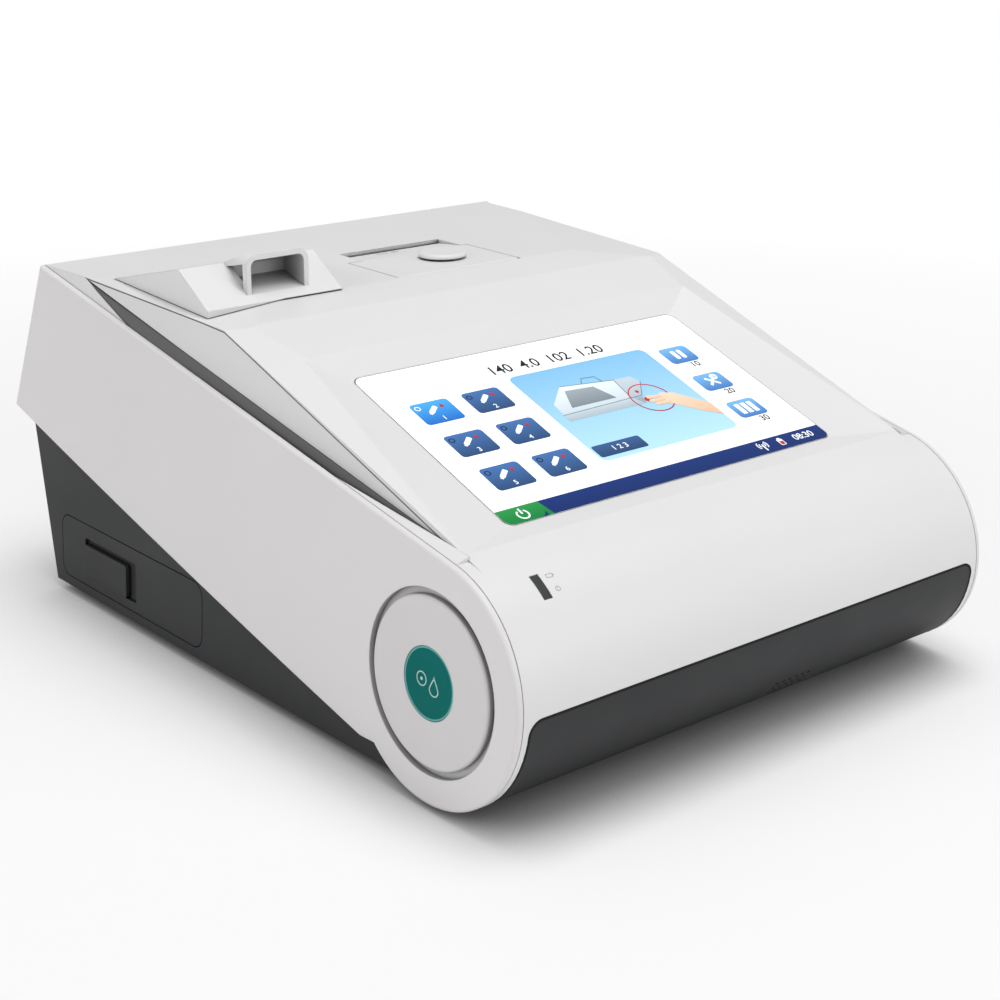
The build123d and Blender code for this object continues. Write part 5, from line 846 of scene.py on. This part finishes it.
class AnalyzerSeamLines(bpy.types.Operator):
    """Lays thin dark strips of painted shadow along the roof's edges, above the side grooves and round the
    front panel, where the narrow gaps fall in shade
    """

    bl_idname = "analyzer.seam_lines"
    bl_label = "Painted shadow lines"

    def execute(self, context):
        width = settings().line_width / MM
        # Near-black and grey flat inks for the painted shadow strips
        ink = printed_ink("seam shadow", (0.022, 0.022, 0.023), 0.7)
        soft = printed_ink("edge shadow", (0.16, 0.16, 0.165), 0.7)
        for side, name in ((-1, "left"), (1, "right")):
            out = Vector((side, 0, PLATEAU_LEAN)).normalized()
            line = Sheet("roof_shadow_line_" + name, [ink, soft])
            edge = [plateau_spot(side, y, z - width / 2) for y, z in EDGE_LINE]
            groove = [plateau_spot(side, y, z) for y, z in GROOVE_LINE]
            line.put(strip_along(edge, width, LINE_THICKNESS, out), finish=1)
            line.put(strip_along(groove, 1.6 * width, LINE_THICKNESS, out))
            line.finish(Matrix.Identity(4), "housing", "trim_grey")

        # Painted shadow: a near-black strip round the front panel, where the gap between nose and panel falls
        # in shade
        panel = Sheet("panel_shadow_line", [printed_ink("panel shadow", (0.004, 0.004, 0.004), 0.9)])
        flank = [(PANEL_INSET, PANEL_REACH - 3.5 * step) for step in range(20)]
        turns = [math.radians(15 * step) for step in range(7)]
        corner = [
            (PANEL_INSET + PANEL_CORNER * (1 - math.cos(turn)), PANEL_CORNER * (1 - math.sin(turn)))
            for turn in turns]
        half = flank + corner
        run = [nose_spot(-1, *place) for place in half] + [nose_spot(1, *place) for place in half[::-1]]
        for a, b in zip(run, run[1:]):
            middle = (a + b) / 2
            out = Vector((0, middle.y - NOSE_AXIS[0], middle.z - NOSE_AXIS[1])).normalized()
            panel.put(strip_along([a, b], 1.9 * width, 0.12, out))
        panel.finish(Matrix.Identity(4), "housing", "trim_grey")
        return {"FINISHED"}


class AnalyzerStage(bpy.types.Operator):
    """Sets the floor, the light and the camera at the photograph's viewpoint"""

    bl_idname = "analyzer.stage"
    bl_label = "Stage"

    def execute(self, context):
        scene = context.scene
        scene.view_settings.view_transform = "Standard"
        self.put_floor(scene)
        self.put_sky(scene)
        self.put_lamp(scene, "key light", (0.15, -0.3, 1.7), (0.0, -0.05, 0.05), 1.2, 14.5)
        self.put_lamp(scene, "front light", (0.7, -1.7, 0.7), (0.0, 0.0, 0.1), 1.0, 6.0)
        self.put_lamp(scene, "side light", (-1.8, 0.3, 0.9), (0.0, 0.05, 0.1), 0.9, 6.8)
        self.put_camera(scene)
        return {"FINISHED"}

    def put_floor(self, scene):
        """Pale floor that fades into the white background, with painted shadow darkening it round and under
        the analyzer
        """
        bm = bmesh.new()
        bmesh.ops.create_grid(bm, x_segments=1, y_segments=1, size=FLOOR_SIZE)
        mesh = bpy.data.meshes.new("floor")
        bm.to_mesh(mesh)
        bm.free()
        floor = bpy.data.objects.new("floor", mesh)
        scene.collection.objects.link(floor)
        material = bpy.data.materials.new("floor")
        nodes, links = emptied(material)
        lit = nodes.new("ShaderNodeBsdfDiffuse")
        # Painted contact shadow: the floor's own colour darkens close to the analyzer
        painted_contact_shadow = range_between(nodes, links, openness(nodes, 0.03), 0.25, 0.95, 0.10, 0.93)
        links.new(painted_contact_shadow.outputs["Result"], lit.inputs["Color"])
        where = nodes.new("ShaderNodeTexCoord")
        away = nodes.new("ShaderNodeVectorMath")
        away.operation = "LENGTH"
        links.new(where.outputs["Object"], away.inputs[0])
        # Far out the floor turns plain white; close in it shows more of its lit shade and so reads greyer
        # round the analyzer
        paleness = range_between(nodes, links, away.outputs["Value"], 0.36, 1.0, 0.14, 0.80)
        # Painted shade: less white glow close round the analyzer, so the floor reads darker there
        painted_shade_glow_factor = range_between(nodes, links, openness(nodes, 0.11), 0.0, 1.0, 0.10, 0.92)
        path = nodes.new("ShaderNodeLightPath")
        near = multiplied(nodes, links, paleness.outputs["Result"], painted_shade_glow_factor.outputs["Result"])
        share = multiplied(nodes, links, path.outputs["Is Camera Ray"], near)
        glow = nodes.new("ShaderNodeEmission")
        glow.inputs["Color"].default_value = (1, 1, 1, 1)
        glow.inputs["Strength"].default_value = 1.0
        output = nodes.new("ShaderNodeOutputMaterial")
        mix_shaders(nodes, links, share, lit.outputs["BSDF"], glow.outputs["Emission"], output)
        mesh.materials.append(material)

    def put_sky(self, scene):
        """White background, with softer light on the analyzer"""
        world = bpy.data.worlds.new("studio")
        scene.world = world
        nodes, links = emptied(world)
        seen, soft = (nodes.new("ShaderNodeBackground") for _ in range(2))
        for sky, strength in ((seen, 1.0), (soft, SKY_STRENGTH)):
            sky.inputs["Color"].default_value = (1, 1, 1, 1)
            sky.inputs["Strength"].default_value = strength
        path = nodes.new("ShaderNodeLightPath")
        output = nodes.new("ShaderNodeOutputWorld")
        mix_shaders(
            nodes, links, path.outputs["Is Camera Ray"], soft.outputs["Background"],
            seen.outputs["Background"], output)

    def put_lamp(self, scene, name, place, aim, size, power):
        """Round soft lamp that looks at a point"""
        light = bpy.data.lights.new(name, "AREA")
        light.shape = "DISK"
        light.size = size
        light.energy = power
        holder = bpy.data.objects.new(name, light)
        scene.collection.objects.link(holder)
        holder.location = place
        holder.rotation_euler = (Vector(aim) - Vector(place)).to_track_quat("-Z", "Y").to_euler()

    def put_camera(self, scene):
        """Camera at the photograph's viewpoint"""
        lens = bpy.data.cameras.new("camera")
        lens.sensor_width = SENSOR_WIDTH
        lens.lens = FOCAL_LENGTH
        lens.clip_start = 0.01
        camera = bpy.data.objects.new("camera", lens)
        scene.collection.objects.link(camera)
        forward = Vector(CAMERA_FORWARD).normalized()
        right = Matrix.Rotation(CAMERA_ROLL, 3, forward) @ Vector(CAMERA_RIGHT).normalized()
        up = right.cross(forward)
        turn = Matrix((right, up, -forward)).transposed().to_4x4()
        camera.matrix_world = Matrix.Translation(CAMERA_PLACE) @ turn
        scene.camera = camera


STEPS = (
    AnalyzerFinishes, AnalyzerScreen, AnalyzerBadgeMark, AnalyzerPrintedMarks, AnalyzerSeamLines,
    AnalyzerStage)


class ANALYZER_PT_steps(bpy.types.Panel):
    """Lists the analyzer's pieces in the sidebar"""

    bl_label = "Analyzer"
    bl_idname = "ANALYZER_PT_steps"
    bl_space_type = "VIEW_3D"
    bl_region_type = "UI"
    bl_category = "Analyzer"

    def draw(self, context):
        for step in STEPS:
            self.layout.operator(step.bl_idname)
        for name in AnalyzerSettings.__annotations__:
            self.layout.prop(context.scene.analyzer_settings, name)


CLASSES = (AnalyzerSettings, *STEPS, ANALYZER_PT_steps)


def register():
    for cls in CLASSES:
        bpy.utils.register_class(cls)
    bpy.types.Scene.analyzer_settings = bpy.props.PointerProperty(type=AnalyzerSettings)


def unregister():
    del bpy.types.Scene.analyzer_settings
    for cls in reversed(CLASSES):
        bpy.utils.unregister_class(cls)


def main():
    register()
    bpy.ops.analyzer.finishes()
    bpy.ops.analyzer.screen()
    bpy.ops.analyzer.badge_mark()
    bpy.ops.analyzer.printed_marks()
    bpy.ops.analyzer.seam_lines()
    bpy.ops.analyzer.stage()
    bpy.context.view_layer.update()


if __name__ == "__main__":
    main()
